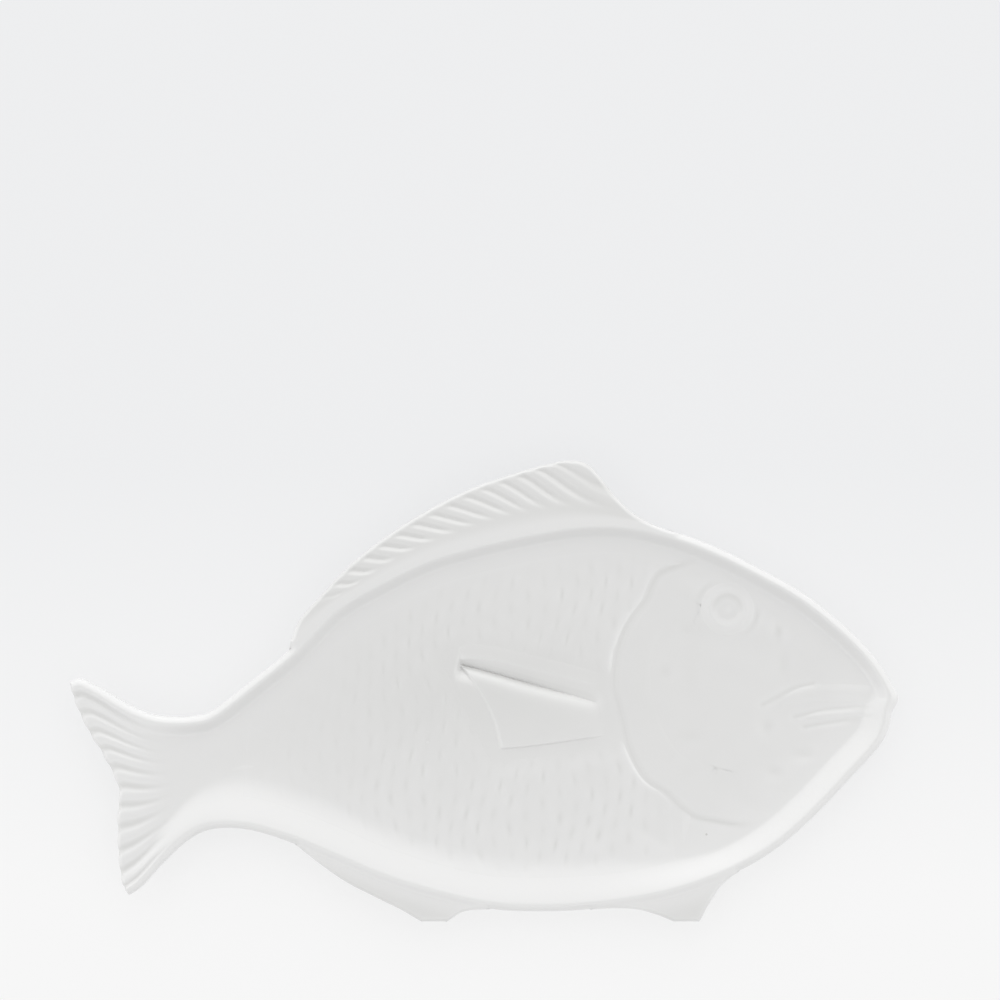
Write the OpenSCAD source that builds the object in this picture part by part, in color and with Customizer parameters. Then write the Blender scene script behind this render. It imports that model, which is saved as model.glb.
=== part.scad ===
/* [Overall size] */
// Length from the snout to the tip of the tail
platter_l = 330; // [280:5:380]
// Width from the top of the dorsal fin to the flat tips of the lower fins
platter_w = 184; // [160:2:210]
// Height of the rim above the table
rim_h = 16; // [14:1:22]

/* [Shell] */
// Height of the foot ring under the floor
foot_h = 5; // [4.5:0.5:7]
// Width of the foot ring
foot_w = 6; // [4:0.5:8]
// Distance from the floor's edge in to the foot ring
foot_inset = 5; // [3:0.5:8]
// Thickness of the floor of the well
floor_t = 5; // [4:0.5:6]
// Width of the rounded lip
lip_w = 3.8; // [3.2:0.2:5]
// How far the wall leans in between the lip and the floor
wall_lean = 6.7; // [5:0.1:9]

/* [Fins] */
// Thickness of the fins and the tail
fin_t = 5; // [4:0.5:6]
// Depth of the grooves between the rays of the dorsal fin and the tail
groove_d = 1.6; // [0.8:0.2:2.4]
// How far the tail's face lies below its edge lips
tail_dish = 1.2; // [0.6:0.2:2]
// Width of the slope inside the tail's edge lips, at its tips
tail_lean = 3; // [2:0.5:5]
// How far the lower fins drop away from the rim at their outer edge
fin_drop = 1.4; // [0:0.2:2.4]
// Rounding of the outer edges of the fins
fin_edge_r = 1.6; // [0.8:0.2:2]

/* [Relief] */
// Diameter of the ring round the eye
eye_d = 23; // [18:1:28]
// Diameter of the hollow in the middle of the eye
pupil_d = 8.4; // [6:0.2:11]
// Height of the eye above the floor
eye_h = 1.5; // [0.8:0.1:2.4]
// Width of the ridge along the gill cover
gill_w = 5.2; // [3:0.2:7]
// Height of the ridge along the gill cover
gill_h = 1.2; // [0.6:0.1:2]
// Width of the folds of the mouth
lip_fold_w = 4; // [2.6:0.2:5]
// Height of the folds of the mouth
lip_fold_h = 1.1; // [0.6:0.1:2]
// Thickness of the pectoral fin at its raised lower edge
pectoral_h = 1.6; // [0.8:0.1:2.4]
// Thickness of the pectoral fin at its sunk upper edge
pectoral_thin_h = 0.5; // [0.3:0.1:0.8]
// Height of the fold above the pectoral fin
fold_h = 1.5; // [0.8:0.1:2.4]
// Width of the fold above the pectoral fin
fold_w = 4.4; // [3:0.2:6]
// Width of the lateral line
line_w = 2; // [1.2:0.2:3]
// Height of the lateral line
line_h = 0.6; // [0.4:0.1:1]
// Height of a scale's free edge, which points to the tail
scale_h = 0.9; // [0.5:0.1:1.4]
// Distance between the scales in a row
scale_pitch = 11; // [9:0.5:16]
// Distance between two rows of scales
row_pitch = 5.6; // [4.6:0.2:9]
// Gap left round each scale
scale_gap = 0.5; // [0.3:0.1:0.8]

/* [Hidden] */

glaze = [0.93, 0.93, 0.92];
bare_clay = [0.86, 0.82, 0.75];

// Sharp corner that stays between the rim and a fin
seam_r = 0.2;

// Heights and insets that follow from the sizes above
floor_top = foot_h + floor_t;
wall_inset = lip_w + wall_lean;
lip_r = 0.45 * lip_w;
well_l = platter_l - 2 * wall_inset;
well_w = platter_w - 2 * wall_inset;
scale_l = (scale_pitch - scale_gap) * 4 / 5;
scale_w = (row_pitch - scale_gap) * 3 / 2;

// Outlines as shares of the length, from the tail, and of the width, from the lower fins
back_shares = [[0.172, 0.458], [0.218, 0.521], [0.265, 0.590], [0.317, 0.685], [0.375, 0.747],
    [0.433, 0.796], [0.493, 0.827], [0.555, 0.852], [0.616, 0.869], [0.676, 0.867], [0.737, 0.841],
    [0.787, 0.806], [0.836, 0.762], [0.886, 0.711], [0.935, 0.641], [0.972, 0.573], [0.993, 0.514]];
snout_shares = [[1, 0.484], [0.993, 0.454], [0.989, 0.423], [0.977, 0.380]];
belly_shares = [[0.942, 0.311], [0.901, 0.233], [0.857, 0.164], [0.808, 0.110], [0.748, 0.067],
    [0.688, 0.041], [0.628, 0.027], [0.567, 0.023], [0.507, 0.028], [0.447, 0.050], [0.381, 0.086],
    [0.320, 0.132], [0.272, 0.168], [0.218, 0.199], [0.172, 0.201]];
rim_shares = concat(back_shares, snout_shares, belly_shares);

dorsal_edge_shares = [[0.269, 0.612], [0.293, 0.685], [0.339, 0.770], [0.381, 0.832], [0.429, 0.889],
    [0.483, 0.938], [0.537, 0.972], [0.589, 0.996], [0.619, 1]];
dorsal_front_shares = [[0.737, 0.841], [0.717, 0.852], [0.698, 0.866], [0.678, 0.888], [0.660, 0.919],
    [0.645, 0.952], [0.630, 0.985], [0.619, 1]];
anal_edge_shares = [[0.505, 0.025], [0.476, 0.022], [0.452, -0.002], [0.428, -0.002], [0.399, 0.026],
    [0.365, 0.056], [0.333, 0.086], [0.301, 0.126], [0.275, 0.163]];
pelvic_edge_shares = [[0.810, 0.107], [0.787, 0.078], [0.770, 0.032], [0.758, -0.002], [0.734, -0.002],
    [0.710, 0.014], [0.686, 0.026], [0.658, 0.029], [0.630, 0.025]];
tail_top_shares = [[0.172, 0.458], [0.149, 0.446], [0.127, 0.444], [0.104, 0.448], [0.081, 0.462],
    [0.057, 0.485], [0.034, 0.510], [0.013, 0.527], [0, 0.521]];
tail_low_shares = [[0.172, 0.201], [0.142, 0.175], [0.113, 0.127], [0.088, 0.078], [0.072, 0.058]];
tail_end_shares = [[0, 0.521], [0.006, 0.475], [0.022, 0.413], [0.042, 0.354], [0.058, 0.289],
    [0.057, 0.222], [0.058, 0.147], [0.063, 0.084], [0.072, 0.058]];

// The relief in the well, as shares of the well's length and width
gill_shares = [[0.761, 0.804], [0.737, 0.752], [0.714, 0.694], [0.693, 0.626], [0.675, 0.552],
    [0.670, 0.491], [0.683, 0.382], [0.701, 0.296], [0.724, 0.248], [0.752, 0.206], [0.784, 0.184],
    [0.823, 0.179], [0.862, 0.189]];
cheek_shares = [[0.742, 0.633], [0.725, 0.589], [0.726, 0.491], [0.737, 0.411], [0.761, 0.321]];
upper_lip_shares = [[0.978, 0.513], [0.945, 0.516], [0.914, 0.496], [0.881, 0.465]];
lower_lip_shares = [[0.980, 0.433], [0.956, 0.428], [0.930, 0.421], [0.907, 0.394], [0.894, 0.352]];
pectoral_shares = [[0.467, 0.556], [0.521, 0.535], [0.598, 0.504], [0.638, 0.484], [0.646, 0.440],
    [0.640, 0.396], [0.593, 0.374], [0.521, 0.362], [0.497, 0.450]];
fold_shares = [[0.465, 0.580], [0.521, 0.560], [0.598, 0.530], [0.650, 0.505]];
line_shares = [[0.176, 0.309], [0.244, 0.331], [0.315, 0.352], [0.379, 0.382], [0.431, 0.379],
    [0.477, 0.394]];
eye_share = [0.811, 0.696];
pectoral_clear_shares = [[0.449, 0.612], [0.598, 0.589], [0.701, 0.548], [0.701, 0.352],
    [0.508, 0.318], [0.469, 0.435]];
// Where the rows of scales end towards the tail
scales_from_share = 0.31;

// Where the fins join the rim, as places in the rim's table
dorsal_join = [2, 10];
pelvic_join = [24, 27];
anal_join = [29, 33];

// The middle of the fish, where the insets of the rim aim
spine_tail_share = 0.33;
spine_snout_share = 0.47;
fan_from_share = 0.5;
fan_reach_share = 0.25;
// Smallest slant between the rim and the way in, so that no inset runs far out
least_slant = 0.6;

// Steps of the curves
rim_steps = 3;
slant_reach = 4;
fin_substeps = 3;
arc_steps = 4;
lip_steps = 2;
steps_per_ray = 4;
tail_rays = 11;
tail_steps = 9;
path_steps = 3;
round_fn = 64;

// Shares of a fin's width, from the rim out, at which its sections have points
fin_row_shares = [0, 0.16, 0.34, 0.6, 0.84];
// Depth of a groove at each of those points and at the outer edge, as shares of the groove's depth
groove_row_shares = [0, 0, 0.45, 0.85, 1, 1, 1];
// Depth across one ray, as shares of the groove's depth
ray_shares = [0, 0.7, 1, 0.7];
// Share of a fin's width that its rounded edge may take, and rays over which the grooves start in front
edge_width_share = 1 / 3;
front_rays = 3;
// Part of the rounded edge that lies outside its middle point, and how far the skin has fallen there
edge_out_share = 1 / 4;
edge_fall_share = 1 / 3;

// Places from the cut to the tail's end at which its face has risen and its rays start and are deep
tail_rise_share = 0.8;
ray_start_share = 0.35;
ray_full_share = 0.78;

// Size of a ridge at its ends, how soon it is full, and the width of its top, as shares
ridge_end_share = 1 / 3;
ridge_grow_share = 1 / 3;
ridge_top_share = 1 / 3;

// The eye's section, as shares from the hollow's edge to the ring's edge and of the eye's height
eye_section_shares = [[0.8, 0.5], [0.6, 0.5], [0.3, 1], [0, 1]];
// Width and height of the hollow's level bottom, as shares of the hollow and of the eye's height
pupil_floor_share = 1 / 2;
pupil_floor_h_share = 1 / 3;

// A scale's plan, as shares of its length from the free edge and of its width
scale_shares = [[0, 0.3], [0.5, 0.5], [1, 0], [0.5, -0.5], [0, -0.3]];
// Height at a scale's root as a share of the height of its free edge
root_share = 0.2;

// Part of the rim that the foot ring follows; a straight bar closes it towards the tail
foot_from = 4 * rim_steps;
foot_to = (len(rim_shares) - 1) * rim_steps - 4 * rim_steps;

// Point of the plan from its shares, never outside the overall size
function place(share) = [
    (min(1, max(0, share[0])) - 1 / 2) * platter_l,
    (min(1, max(0, share[1])) - 1 / 2) * platter_w];

// Point on the smooth curve through a table, at t spans from its start
function curve_share(table, t) =
    let (i = min(len(table) - 2, floor(t)), f = t - i,
        a = i > 0 ? table[i - 1] : 2 * table[0] - table[1], b = table[i], c = table[i + 1],
        d = i < len(table) - 2 ? table[i + 2] : 2 * c - b)
    (2 * b + (c - a) * f + (2 * a - 5 * b + 4 * c - d) * f ^ 2 + (3 * b - a - 3 * c + d) * f ^ 3) / 2;
function curve(table, t) = place(curve_share(table, t));

// Points of the well's relief, and a whole curve of them
function in_well(share) = [(share[0] - 1 / 2) * well_l, (share[1] - 1 / 2) * well_w];
function well_curve(table) = [
    for (k = [0:(len(table) - 1) * path_steps]) in_well(curve_share(table, k / path_steps))];

function mix(a, b, t) = a + (b - a) * t;
function clamp(t) = min(1, max(0, t));
function ease(t) = let (c = clamp(t)) c * c * (3 - 2 * c);
function unit(v) = v / norm(v);
function flat(lists) = [for (list = lists) each list];

// The rim's outer edge, clockwise from the tail over the back
rim = [for (k = [0:(len(rim_shares) - 1) * rim_steps]) curve(rim_shares, k / rim_steps)];
rim_last = len(rim) - 1;

// Way in from each rim point to the middle of the fish
function middle_of(p) =
    let (x_from = (fan_from_share - 1 / 2) * platter_l, reach = platter_l / 2 - x_from,
        over = max(0, p[0] - x_from), x = p[0] - fan_reach_share * over ^ 2 / reach)
    [x, (mix(spine_tail_share, spine_snout_share, x / platter_l + 1 / 2) - 1 / 2) * platter_w];
function way_in(i) = unit(middle_of(rim[i]) - rim[i]);
function along(i) = unit(rim[min(rim_last, i + slant_reach)] - rim[max(0, i - slant_reach)]);
function slant(i) = let (a = along(i), w = way_in(i)) 1 / max(least_slant, a[1] * w[0] - a[0] * w[1]);
function inset(i, w) = rim[i] + way_in(i) * w * slant(i);

// How far a place on the rim is from the fins: 0 beside a fin and 1 well clear of it
function outside(t, join) = max(join[0] - t, t - join[1], 0);
function clear_of_fins(t) = ease(min(outside(t, dorsal_join), outside(t, pelvic_join),
    outside(t, anal_join)));

// Section of the wall as inset from the rim's outer edge and height, from the floor's underside
// round the outside and over the lip
function under_curve(a, lean, low, high) = [lean * (1 - cos(a)), low + (high - low) * (1 - sin(a))];
function lip_curve(r) = [
    for (k = [0:lip_steps]) let (b = 90 * k / lip_steps) [r * (1 - cos(b)), rim_h - r * (1 - sin(b))],
    for (k = [lip_steps:-1:0]) let (b = 90 * k / lip_steps)
        [lip_w - lip_r * (1 - cos(b)), rim_h - lip_r * (1 - sin(b))]];
function inner_curve(lean, low) = [
    for (k = [1:arc_steps]) let (a = 90 * k / arc_steps)
        [lip_w + lean * (1 - cos(a)), low + (rim_h - lip_r - low) * (1 - sin(a))]];
function wall_section(r) = concat(
    [for (k = [arc_steps:-1:0]) under_curve(90 * k / arc_steps, wall_inset, foot_h, rim_h - fin_t)],
    lip_curve(r), inner_curve(wall_lean, floor_top));
function section_at(i) =
    let (r = mix(seam_r, lip_r, clear_of_fins(i / rim_steps)))
    [for (s = wall_section(r)) let (p = inset(i, s[0])) [p[0], p[1], s[1]]];

// Faces of a grid of points, and of a tube of closed sections with flat ends
function grid_faces(rows, cols, base, turned) = [
    for (i = [0:rows - 2], j = [0:cols - 2])
        let (a = base + i * cols + j, b = a + 1, c = b + cols, d = a + cols)
        each turned ? [[a, d, c], [a, c, b]] : [[a, b, c], [a, c, d]]];
function tube_faces(rows, cols) = [
    [for (j = [0:cols - 1]) j],
    [for (j = [cols - 1:-1:0]) (rows - 1) * cols + j],
    for (i = [0:rows - 2], j = [0:cols - 1])
        let (a = i * cols + j, b = i * cols + (j + 1) % cols, c = b + cols, d = a + cols)
        each [[a, d, c], [a, c, b]]];

module tube(sections) {
    polyhedron(flat(sections), tube_faces(len(sections), len(sections[0])), convexity = 10);
}

// Solid between two grids of points, one above the other
module slab(top, bottom) {
    rows = len(top);
    cols = len(top[0]);
    n = rows * cols;
    border = concat([for (j = [0:cols - 1]) j], [for (i = [1:rows - 1]) i * cols + cols - 1],
        [for (j = [cols - 2:-1:0]) (rows - 1) * cols + j], [for (i = [rows - 2:-1:1]) i * cols]);
    sides = [for (k = [0:len(border) - 1])
        let (a = border[k], b = border[(k + 1) % len(border)])
        each [[b, a, n + a], [b, n + a, n + b]]];
    polyhedron(concat(flat(top), flat(bottom)),
        concat(grid_faces(rows, cols, 0, false), grid_faces(rows, cols, n, true), sides),
        convexity = 10);
}

// Flat-topped ridge along a curve on the floor, thinner at both ends
module ridge(table, width, height) {
    line = well_curve(table);
    last = len(line) - 1;
    sections = [for (k = [0:last])
        let (way = unit(line[min(last, k + 1)] - line[max(0, k - 1)]), side = [-way[1], way[0]],
            swell = mix(ridge_end_share, 1, ease(min(k, last - k) / last / ridge_grow_share)),
            half = side * width * swell / 2, top = half * ridge_top_share, p = line[k],
            high = floor_top + height * swell)
        [[p[0] - half[0], p[1] - half[1], floor_top], [p[0] + half[0], p[1] + half[1], floor_top],
            [p[0] + top[0], p[1] + top[1], high], [p[0] - top[0], p[1] - top[1], high]]];
    tube(sections);
}

// Plate on the floor with a clockwise outline and its own height at each corner
module tilted_plate(outline, heights) {
    n = len(outline);
    polyhedron(concat([for (p = outline) [p[0], p[1], floor_top]],
            [for (k = [0:n - 1]) [outline[k][0], outline[k][1], floor_top + heights[k]]]),
        concat([[for (k = [n - 1:-1:0]) k]], [[for (k = [0:n - 1]) n + k]],
            [for (k = [0:n - 1]) let (m = (k + 1) % n) [k, m, n + m, n + k]]));
}

// Whether a point lies inside a closed outline
function is_inside(p, outline) =
    let (n = len(outline), hits = [for (k = [0:n - 1])
        let (a = outline[k], b = outline[(k + 1) % n])
        if ((a[1] > p[1]) != (b[1] > p[1])
            && p[0] < a[0] + (b[0] - a[0]) * (p[1] - a[1]) / (b[1] - a[1])) 1])
    len(hits) % 2 == 1;

module well_floor() {
    color(glaze)
        translate([0, 0, foot_h])
            linear_extrude(floor_t)
                polygon([for (i = [0:rim_last]) inset(i, wall_inset)]);
}

module side_wall() {
    color(glaze)
        tube([for (i = [0:rim_last]) section_at(i)]);
}

module foot_ring() {
    outer_w = wall_inset + foot_inset;
    outer = [for (i = [foot_from:foot_to]) inset(i, outer_w)];
    inner = [for (i = [foot_from:foot_to]) inset(i, outer_w + foot_w)];
    bar_x = max(outer[0][0], outer[len(outer) - 1][0]) + foot_w;
    color(bare_clay)
        linear_extrude(foot_h)
            difference() {
                polygon(outer);
                intersection() {
                    polygon(inner);
                    translate([bar_x, -platter_w / 2])
                        square([platter_l, platter_w]);
                }
            }
}

// Point on the rim's own chords, at t spans of the rim's table
function on_rim(t) =
    let (k = min(rim_last - 1, floor(t * rim_steps)))
    mix(rim[k], rim[k + 1], t * rim_steps - k);

// Fin along the rim: the grid has a row for each station and a column for each step outwards
module edge_fin(join, edge_table, front_table, groove, drop) {
    stations = (join[1] - join[0]) * rim_steps * fin_substeps;
    edge_spans = len(edge_table) - 1;
    front = len(front_table) > 0;
    front_spans = len(front_table) - 1;
    inner_end = on_rim(join[1]);
    outer_end = curve(edge_table, edge_spans);
    function straight_point(s, q) =
        mix(on_rim(join[0] + s * (join[1] - join[0])), curve(edge_table, s * edge_spans), q);
    function front_bend(s, q) =
        ease(2 * s - 1) * (curve(front_table, q * front_spans) - mix(inner_end, outer_end, q));
    function grid_point(k, q) =
        let (s = k / stations, p = straight_point(s, q))
        front ? p + front_bend(s, q) : p;
    function fin_width(k) = norm(grid_point(k, 1) - grid_point(k, 0));
    function edge_r(k) = min(fin_edge_r, fin_width(k) * edge_width_share);
    function row_shares(k) =
        let (e = edge_r(k) / fin_width(k))
        concat(fin_row_shares * (1 - e), [1 - e, 1 - e * edge_out_share, 1]);
    function groove_at(k, j) =
        let (fade = ease(k / steps_per_ray) * ease((stations - k) / steps_per_ray / front_rays))
        groove * fade * ray_shares[k % steps_per_ray]
            * groove_row_shares[min(j, len(groove_row_shares) - 1)];
    top = [for (k = [0:stations])
        let (q = row_shares(k), last = len(q) - 1, r = edge_r(k))
        [for (j = [0:last])
            let (p = grid_point(k, q[j]),
                fall = j == last ? r : j == last - 1 ? r * edge_fall_share : 0)
            [p[0], p[1], rim_h - drop * q[j] - groove_at(k, j) - fall]]];
    bottom = [for (k = [0:stations])
        let (q = row_shares(k))
        [for (j = [0:len(q) - 1]) [top[k][j][0], top[k][j][1], rim_h - fin_t - drop * q[j]]]];
    slab(top, bottom);
}

module dorsal_fin() {
    color(glaze)
        edge_fin(dorsal_join, dorsal_edge_shares, dorsal_front_shares, groove_d, 0);
}

module anal_fin() {
    color(glaze)
        edge_fin(anal_join, anal_edge_shares, [], 0, fin_drop);
}

module pelvic_fin() {
    color(glaze)
        edge_fin(pelvic_join, pelvic_edge_shares, [], 0, fin_drop);
}

// The tail starts with the wall's own section at the cut and flattens towards its trailing edge
function tail_end_point(table) = place(table[len(table) - 1]);
function tail_point(u, v) =
    let (top = curve(tail_top_shares, u * (len(tail_top_shares) - 1)),
        low = curve(tail_low_shares, u * (len(tail_low_shares) - 1)),
        end = curve(tail_end_shares, v * (len(tail_end_shares) - 1)),
        chord = mix(tail_end_point(tail_top_shares), tail_end_point(tail_low_shares), v))
    mix(top, low, v) + u * (end - chord);
function tail_width(u) = norm(tail_point(u, 1) - tail_point(u, 0));

// One row across the tail: a profile along each edge and the face between them
function tail_row(u, profile, face) =
    let (upper = mix(slant(0), 1, u) / tail_width(u), lower = mix(slant(rim_last), 1, u) / tail_width(u),
        last = len(profile) - 1, reach = profile[last][0], v0 = reach * upper, v1 = 1 - reach * lower,
        cols = tail_rays * steps_per_ray)
    concat(
        [for (s = profile) let (p = tail_point(u, s[0] * upper)) [p[0], p[1], s[1]]],
        [for (j = [1:cols - 1]) let (p = tail_point(u, mix(v0, v1, j / cols))) [p[0], p[1], face[j]]],
        [for (k = [last:-1:0])
            let (s = profile[k], p = tail_point(u, 1 - s[0] * lower)) [p[0], p[1], s[1]]]);

module tail_fin() {
    edge_cols = 2 * lip_steps + 2 + arc_steps;
    face_cols = tail_rays * steps_per_ray;
    tail_l = norm(tail_point(1, 1 / 2) - tail_point(0, 1 / 2));
    rows = concat([for (k = [0:tail_steps]) k / (tail_steps + 1)], [1 - fin_edge_r / tail_l, 1]);
    top = [for (u = rows)
        let (rise = ease(u / tail_rise_share), low = mix(floor_top, rim_h - tail_dish, rise),
            lean = mix(wall_lean, tail_lean, rise), fall = u == 1 ? fin_edge_r : 0,
            fade = ease((u - ray_start_share) / (ray_full_share - ray_start_share)),
            profile = [for (s = concat(lip_curve(lip_r), inner_curve(lean, low))) [s[0], s[1] - fall]])
        tail_row(u, profile, [for (j = [0:face_cols])
            low - fall - groove_d * fade * ray_shares[j % steps_per_ray]])];
    bottom = [for (u = rows)
        let (rise = ease(u / tail_rise_share), low = mix(foot_h, rim_h - fin_t - tail_dish, rise),
            reach = lip_w + mix(wall_lean, tail_lean, rise), last = edge_cols - 1,
            profile = [for (k = [0:last]) under_curve(90 * k / last, reach, low, rim_h - fin_t)])
        tail_row(u, profile, [for (j = [0:face_cols]) low])];
    color(glaze)
        slab(top, bottom);
}

module pectoral_fin() {
    outline = [for (share = pectoral_shares) in_well(share)];
    ys = [for (p = outline) p[1]];
    color(glaze) {
        tilted_plate(outline,
            [for (y = ys) mix(pectoral_h, pectoral_thin_h, (y - min(ys)) / (max(ys) - min(ys)))]);
        ridge(fold_shares, fold_w, fold_h);
    }
}

module eye() {
    eye_r = eye_d / 2;
    pupil_r = pupil_d / 2;
    color(glaze)
        translate([in_well(eye_share)[0], in_well(eye_share)[1], floor_top])
            rotate_extrude($fn = round_fn)
                polygon(concat([[0, 0], [eye_r, 0]],
                    [for (s = eye_section_shares) [mix(pupil_r, eye_r, s[0]), eye_h * s[1]]],
                    [[pupil_r * pupil_floor_share, eye_h * pupil_floor_h_share],
                        [0, eye_h * pupil_floor_h_share]]));
}

module gill_cover() {
    color(glaze) {
        ridge(gill_shares, gill_w, gill_h);
        ridge(cheek_shares, gill_w, gill_h / 2);
    }
}

module lips() {
    color(glaze) {
        ridge(upper_lip_shares, lip_fold_w, lip_fold_h);
        ridge(lower_lip_shares, lip_fold_w, lip_fold_h);
    }
}

module lateral_line() {
    color(glaze)
        ridge(line_shares, line_w, line_h);
}

function scale_corners(p) = [for (s = scale_shares) p + [s[0] * scale_l, s[1] * scale_w]];

module scales() {
    floor_edge = [for (i = [0:rim_last]) inset(i, wall_inset + scale_gap)];
    line = well_curve(line_shares);
    pectoral = [for (share = pectoral_clear_shares) in_well(share)];
    tail_side = in_well([scales_from_share, 0])[0];
    flank = concat([[tail_side, well_w / 2]], [[in_well(gill_shares[0])[0], well_w / 2]],
        [for (p = well_curve(gill_shares)) p - [gill_w / 2 + scale_gap, 0]],
        [[in_well(gill_shares[len(gill_shares) - 1])[0], -well_w / 2]], [[tail_side, -well_w / 2]]);
    function near_line(p) = min([for (q = line) norm(p - q)]) < line_w + scale_w / 2;
    function fits(p) = !near_line(p + [scale_l / 2, 0])
        && len([for (c = scale_corners(p))
            if (!is_inside(c, floor_edge) || !is_inside(c, flank) || is_inside(c, pectoral)) 1]) == 0;
    rows = floor(well_w / 2 / row_pitch);
    cols = floor(well_l / 2 / scale_pitch);
    color(glaze)
        for (i = [-rows:rows], j = [-cols:cols]) {
            p = [(j + (i % 2 == 0 ? 0 : 1 / 2)) * scale_pitch, i * row_pitch];
            if (fits(p))
                tilted_plate(scale_corners(p), [for (s = scale_shares) scale_h * mix(1, root_share, s[0])]);
        }
}

well_floor();
side_wall();
foot_ring();
dorsal_fin();
tail_fin();
anal_fin();
pelvic_fin();
pectoral_fin();
eye();
gill_cover();
lips();
lateral_line();
scales();
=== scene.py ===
"""White glazed ceramic platter in the shape of a fish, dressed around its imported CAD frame.

All forms are worked out in millimetres in the CAD frame: X from the tail to the snout, Y from the
lower fins to the dorsal fin and Z up from the table. They become metres when vertices are placed.
"""
from __future__ import annotations

import logging
import math
from dataclasses import dataclass, field
from enum import Enum
from typing import ClassVar

import bmesh
import bpy
import numpy as np
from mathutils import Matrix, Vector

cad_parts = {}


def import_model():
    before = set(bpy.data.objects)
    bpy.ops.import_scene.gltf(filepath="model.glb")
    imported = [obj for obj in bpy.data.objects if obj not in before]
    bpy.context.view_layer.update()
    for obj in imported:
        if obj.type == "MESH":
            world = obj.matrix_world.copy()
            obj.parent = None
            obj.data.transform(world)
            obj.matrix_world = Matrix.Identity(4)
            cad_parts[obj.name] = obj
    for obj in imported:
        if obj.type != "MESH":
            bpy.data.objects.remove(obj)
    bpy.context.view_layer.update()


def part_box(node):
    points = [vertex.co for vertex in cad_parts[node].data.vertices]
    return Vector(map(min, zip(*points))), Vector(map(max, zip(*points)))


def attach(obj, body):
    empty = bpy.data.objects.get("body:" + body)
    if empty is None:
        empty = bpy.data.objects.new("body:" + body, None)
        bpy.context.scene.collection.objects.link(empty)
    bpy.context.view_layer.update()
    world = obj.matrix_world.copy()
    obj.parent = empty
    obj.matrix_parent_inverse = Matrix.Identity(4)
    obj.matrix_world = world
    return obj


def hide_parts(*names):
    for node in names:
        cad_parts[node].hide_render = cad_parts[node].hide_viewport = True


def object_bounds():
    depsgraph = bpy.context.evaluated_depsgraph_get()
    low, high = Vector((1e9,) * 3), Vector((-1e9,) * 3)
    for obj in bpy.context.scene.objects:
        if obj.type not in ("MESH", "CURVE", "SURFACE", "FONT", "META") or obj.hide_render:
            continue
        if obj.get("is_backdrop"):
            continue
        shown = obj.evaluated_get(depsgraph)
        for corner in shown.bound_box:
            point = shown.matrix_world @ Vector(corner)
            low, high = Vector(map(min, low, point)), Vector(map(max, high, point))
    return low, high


Array = np.ndarray
LOG = logging.getLogger("fish_platter")
MM = 0.001
CURVE_STEPS = 24


class Slot(Enum):
    """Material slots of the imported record."""

    GLAZE = "glaze"
    BARE_CLAY = "bare_clay"


def mix(a: Array | float, b: Array | float, t: Array | float) -> Array | float:
    """Value between a and b at share t."""
    return a + (b - a) * t


def ease(t: Array | float) -> Array | float:
    """Smooth step from 0 to 1 with level ends."""
    c = np.clip(t, 0, 1)
    return c * c * (3 - 2 * c)


def bump(d: Array, reach: Array | float) -> Array:
    """Soft bell over a distance: 1 in the middle and near 0 beyond twice the reach."""
    return np.exp(-((d / reach) ** 2))


def mound(xy: Array, centre: tuple[float, float], wide: float, high: float) -> Array:
    """Soft mound of height 1 round a place, with one reach along X and another along Y."""
    x, y = xy[..., 0] - centre[0], xy[..., 1] - centre[1]
    return np.exp(-((x / wide) ** 2) - (y / high) ** 2)


def unit(v: Array) -> Array:
    """Vectors of length one along the last axis."""
    return v / np.maximum(np.linalg.norm(v, axis=-1, keepdims=True), 1e-9)


def curve(table: Array, t: Array) -> Array:
    """Points on the smooth curve through a table.

    Args:
        table: Points, one per row.
        t: Places on the curve, counted in spans from its start.

    Returns:
        Points with the shape of t and one more axis.
    """
    t = np.asarray(t, float)
    ends = [2 * table[0] - table[1]], [2 * table[-1] - table[-2]]
    padded = np.vstack([ends[0], table, ends[1]])
    i = np.clip(np.floor(t).astype(int), 0, len(table) - 2)
    f = (t - i)[..., None]
    a, b, c, d = (padded[i + k] for k in range(4))
    cubic = (3 * b - a - 3 * c + d) * f ** 3
    return (2 * b + (c - a) * f + (2 * a - 5 * b + 4 * c - d) * f ** 2 + cubic) / 2


def whole_curve(table: Array, steps: int) -> Array:
    """The smooth curve through a table, sampled with steps points to a span."""
    return curve(table, np.linspace(0, len(table) - 1, (len(table) - 1) * steps + 1))


def evenly(table: Array, count: int) -> Array:
    """The smooth curve through a table at count points an equal distance apart.

    Args:
        table: Points, one per row.
        count: How many points to give.

    Returns:
        Points, one per row.
    """
    line = whole_curve(table, CURVE_STEPS)
    run = np.concatenate([[0], np.cumsum(np.linalg.norm(np.diff(line, axis=0), axis=1))])
    at = np.linspace(0, run[-1], count)
    return np.stack([np.interp(at, run, line[:, k]) for k in range(line.shape[1])], 1)


def side_way(line: Array) -> Array:
    """Way to the left of a line at each of its points."""
    way = unit(np.gradient(line, axis=0))
    return np.stack([-way[:, 1], way[:, 0]], 1)


def distance(points: Array, line: Array) -> Array:
    """Distance of plan points from a polyline.

    Args:
        points: Plan points along the last axis.
        line: Corners of the polyline, one per row.

    Returns:
        Distances with the shape of points without its last axis.
    """
    flat = points.reshape(-1, 2)
    start, span = line[:-1], np.diff(line, axis=0)
    square = (span ** 2).sum(1) + 1e-12
    out = np.empty(len(flat))
    block = 2000
    for k in range(0, len(flat), block):
        p = flat[k:k + block, None, :] - start
        t = np.clip((p * span).sum(-1) / square, 0, 1)
        out[k:k + block] = np.sqrt(((p - t[..., None] * span) ** 2).sum(-1).min(1))
    return out.reshape(points.shape[:-1])


def nearest(points: Array, lines: list) -> Array:
    """Distance of plan points from the nearest of several polylines."""
    return np.min([distance(points, line) for line in lines], axis=0)


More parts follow.
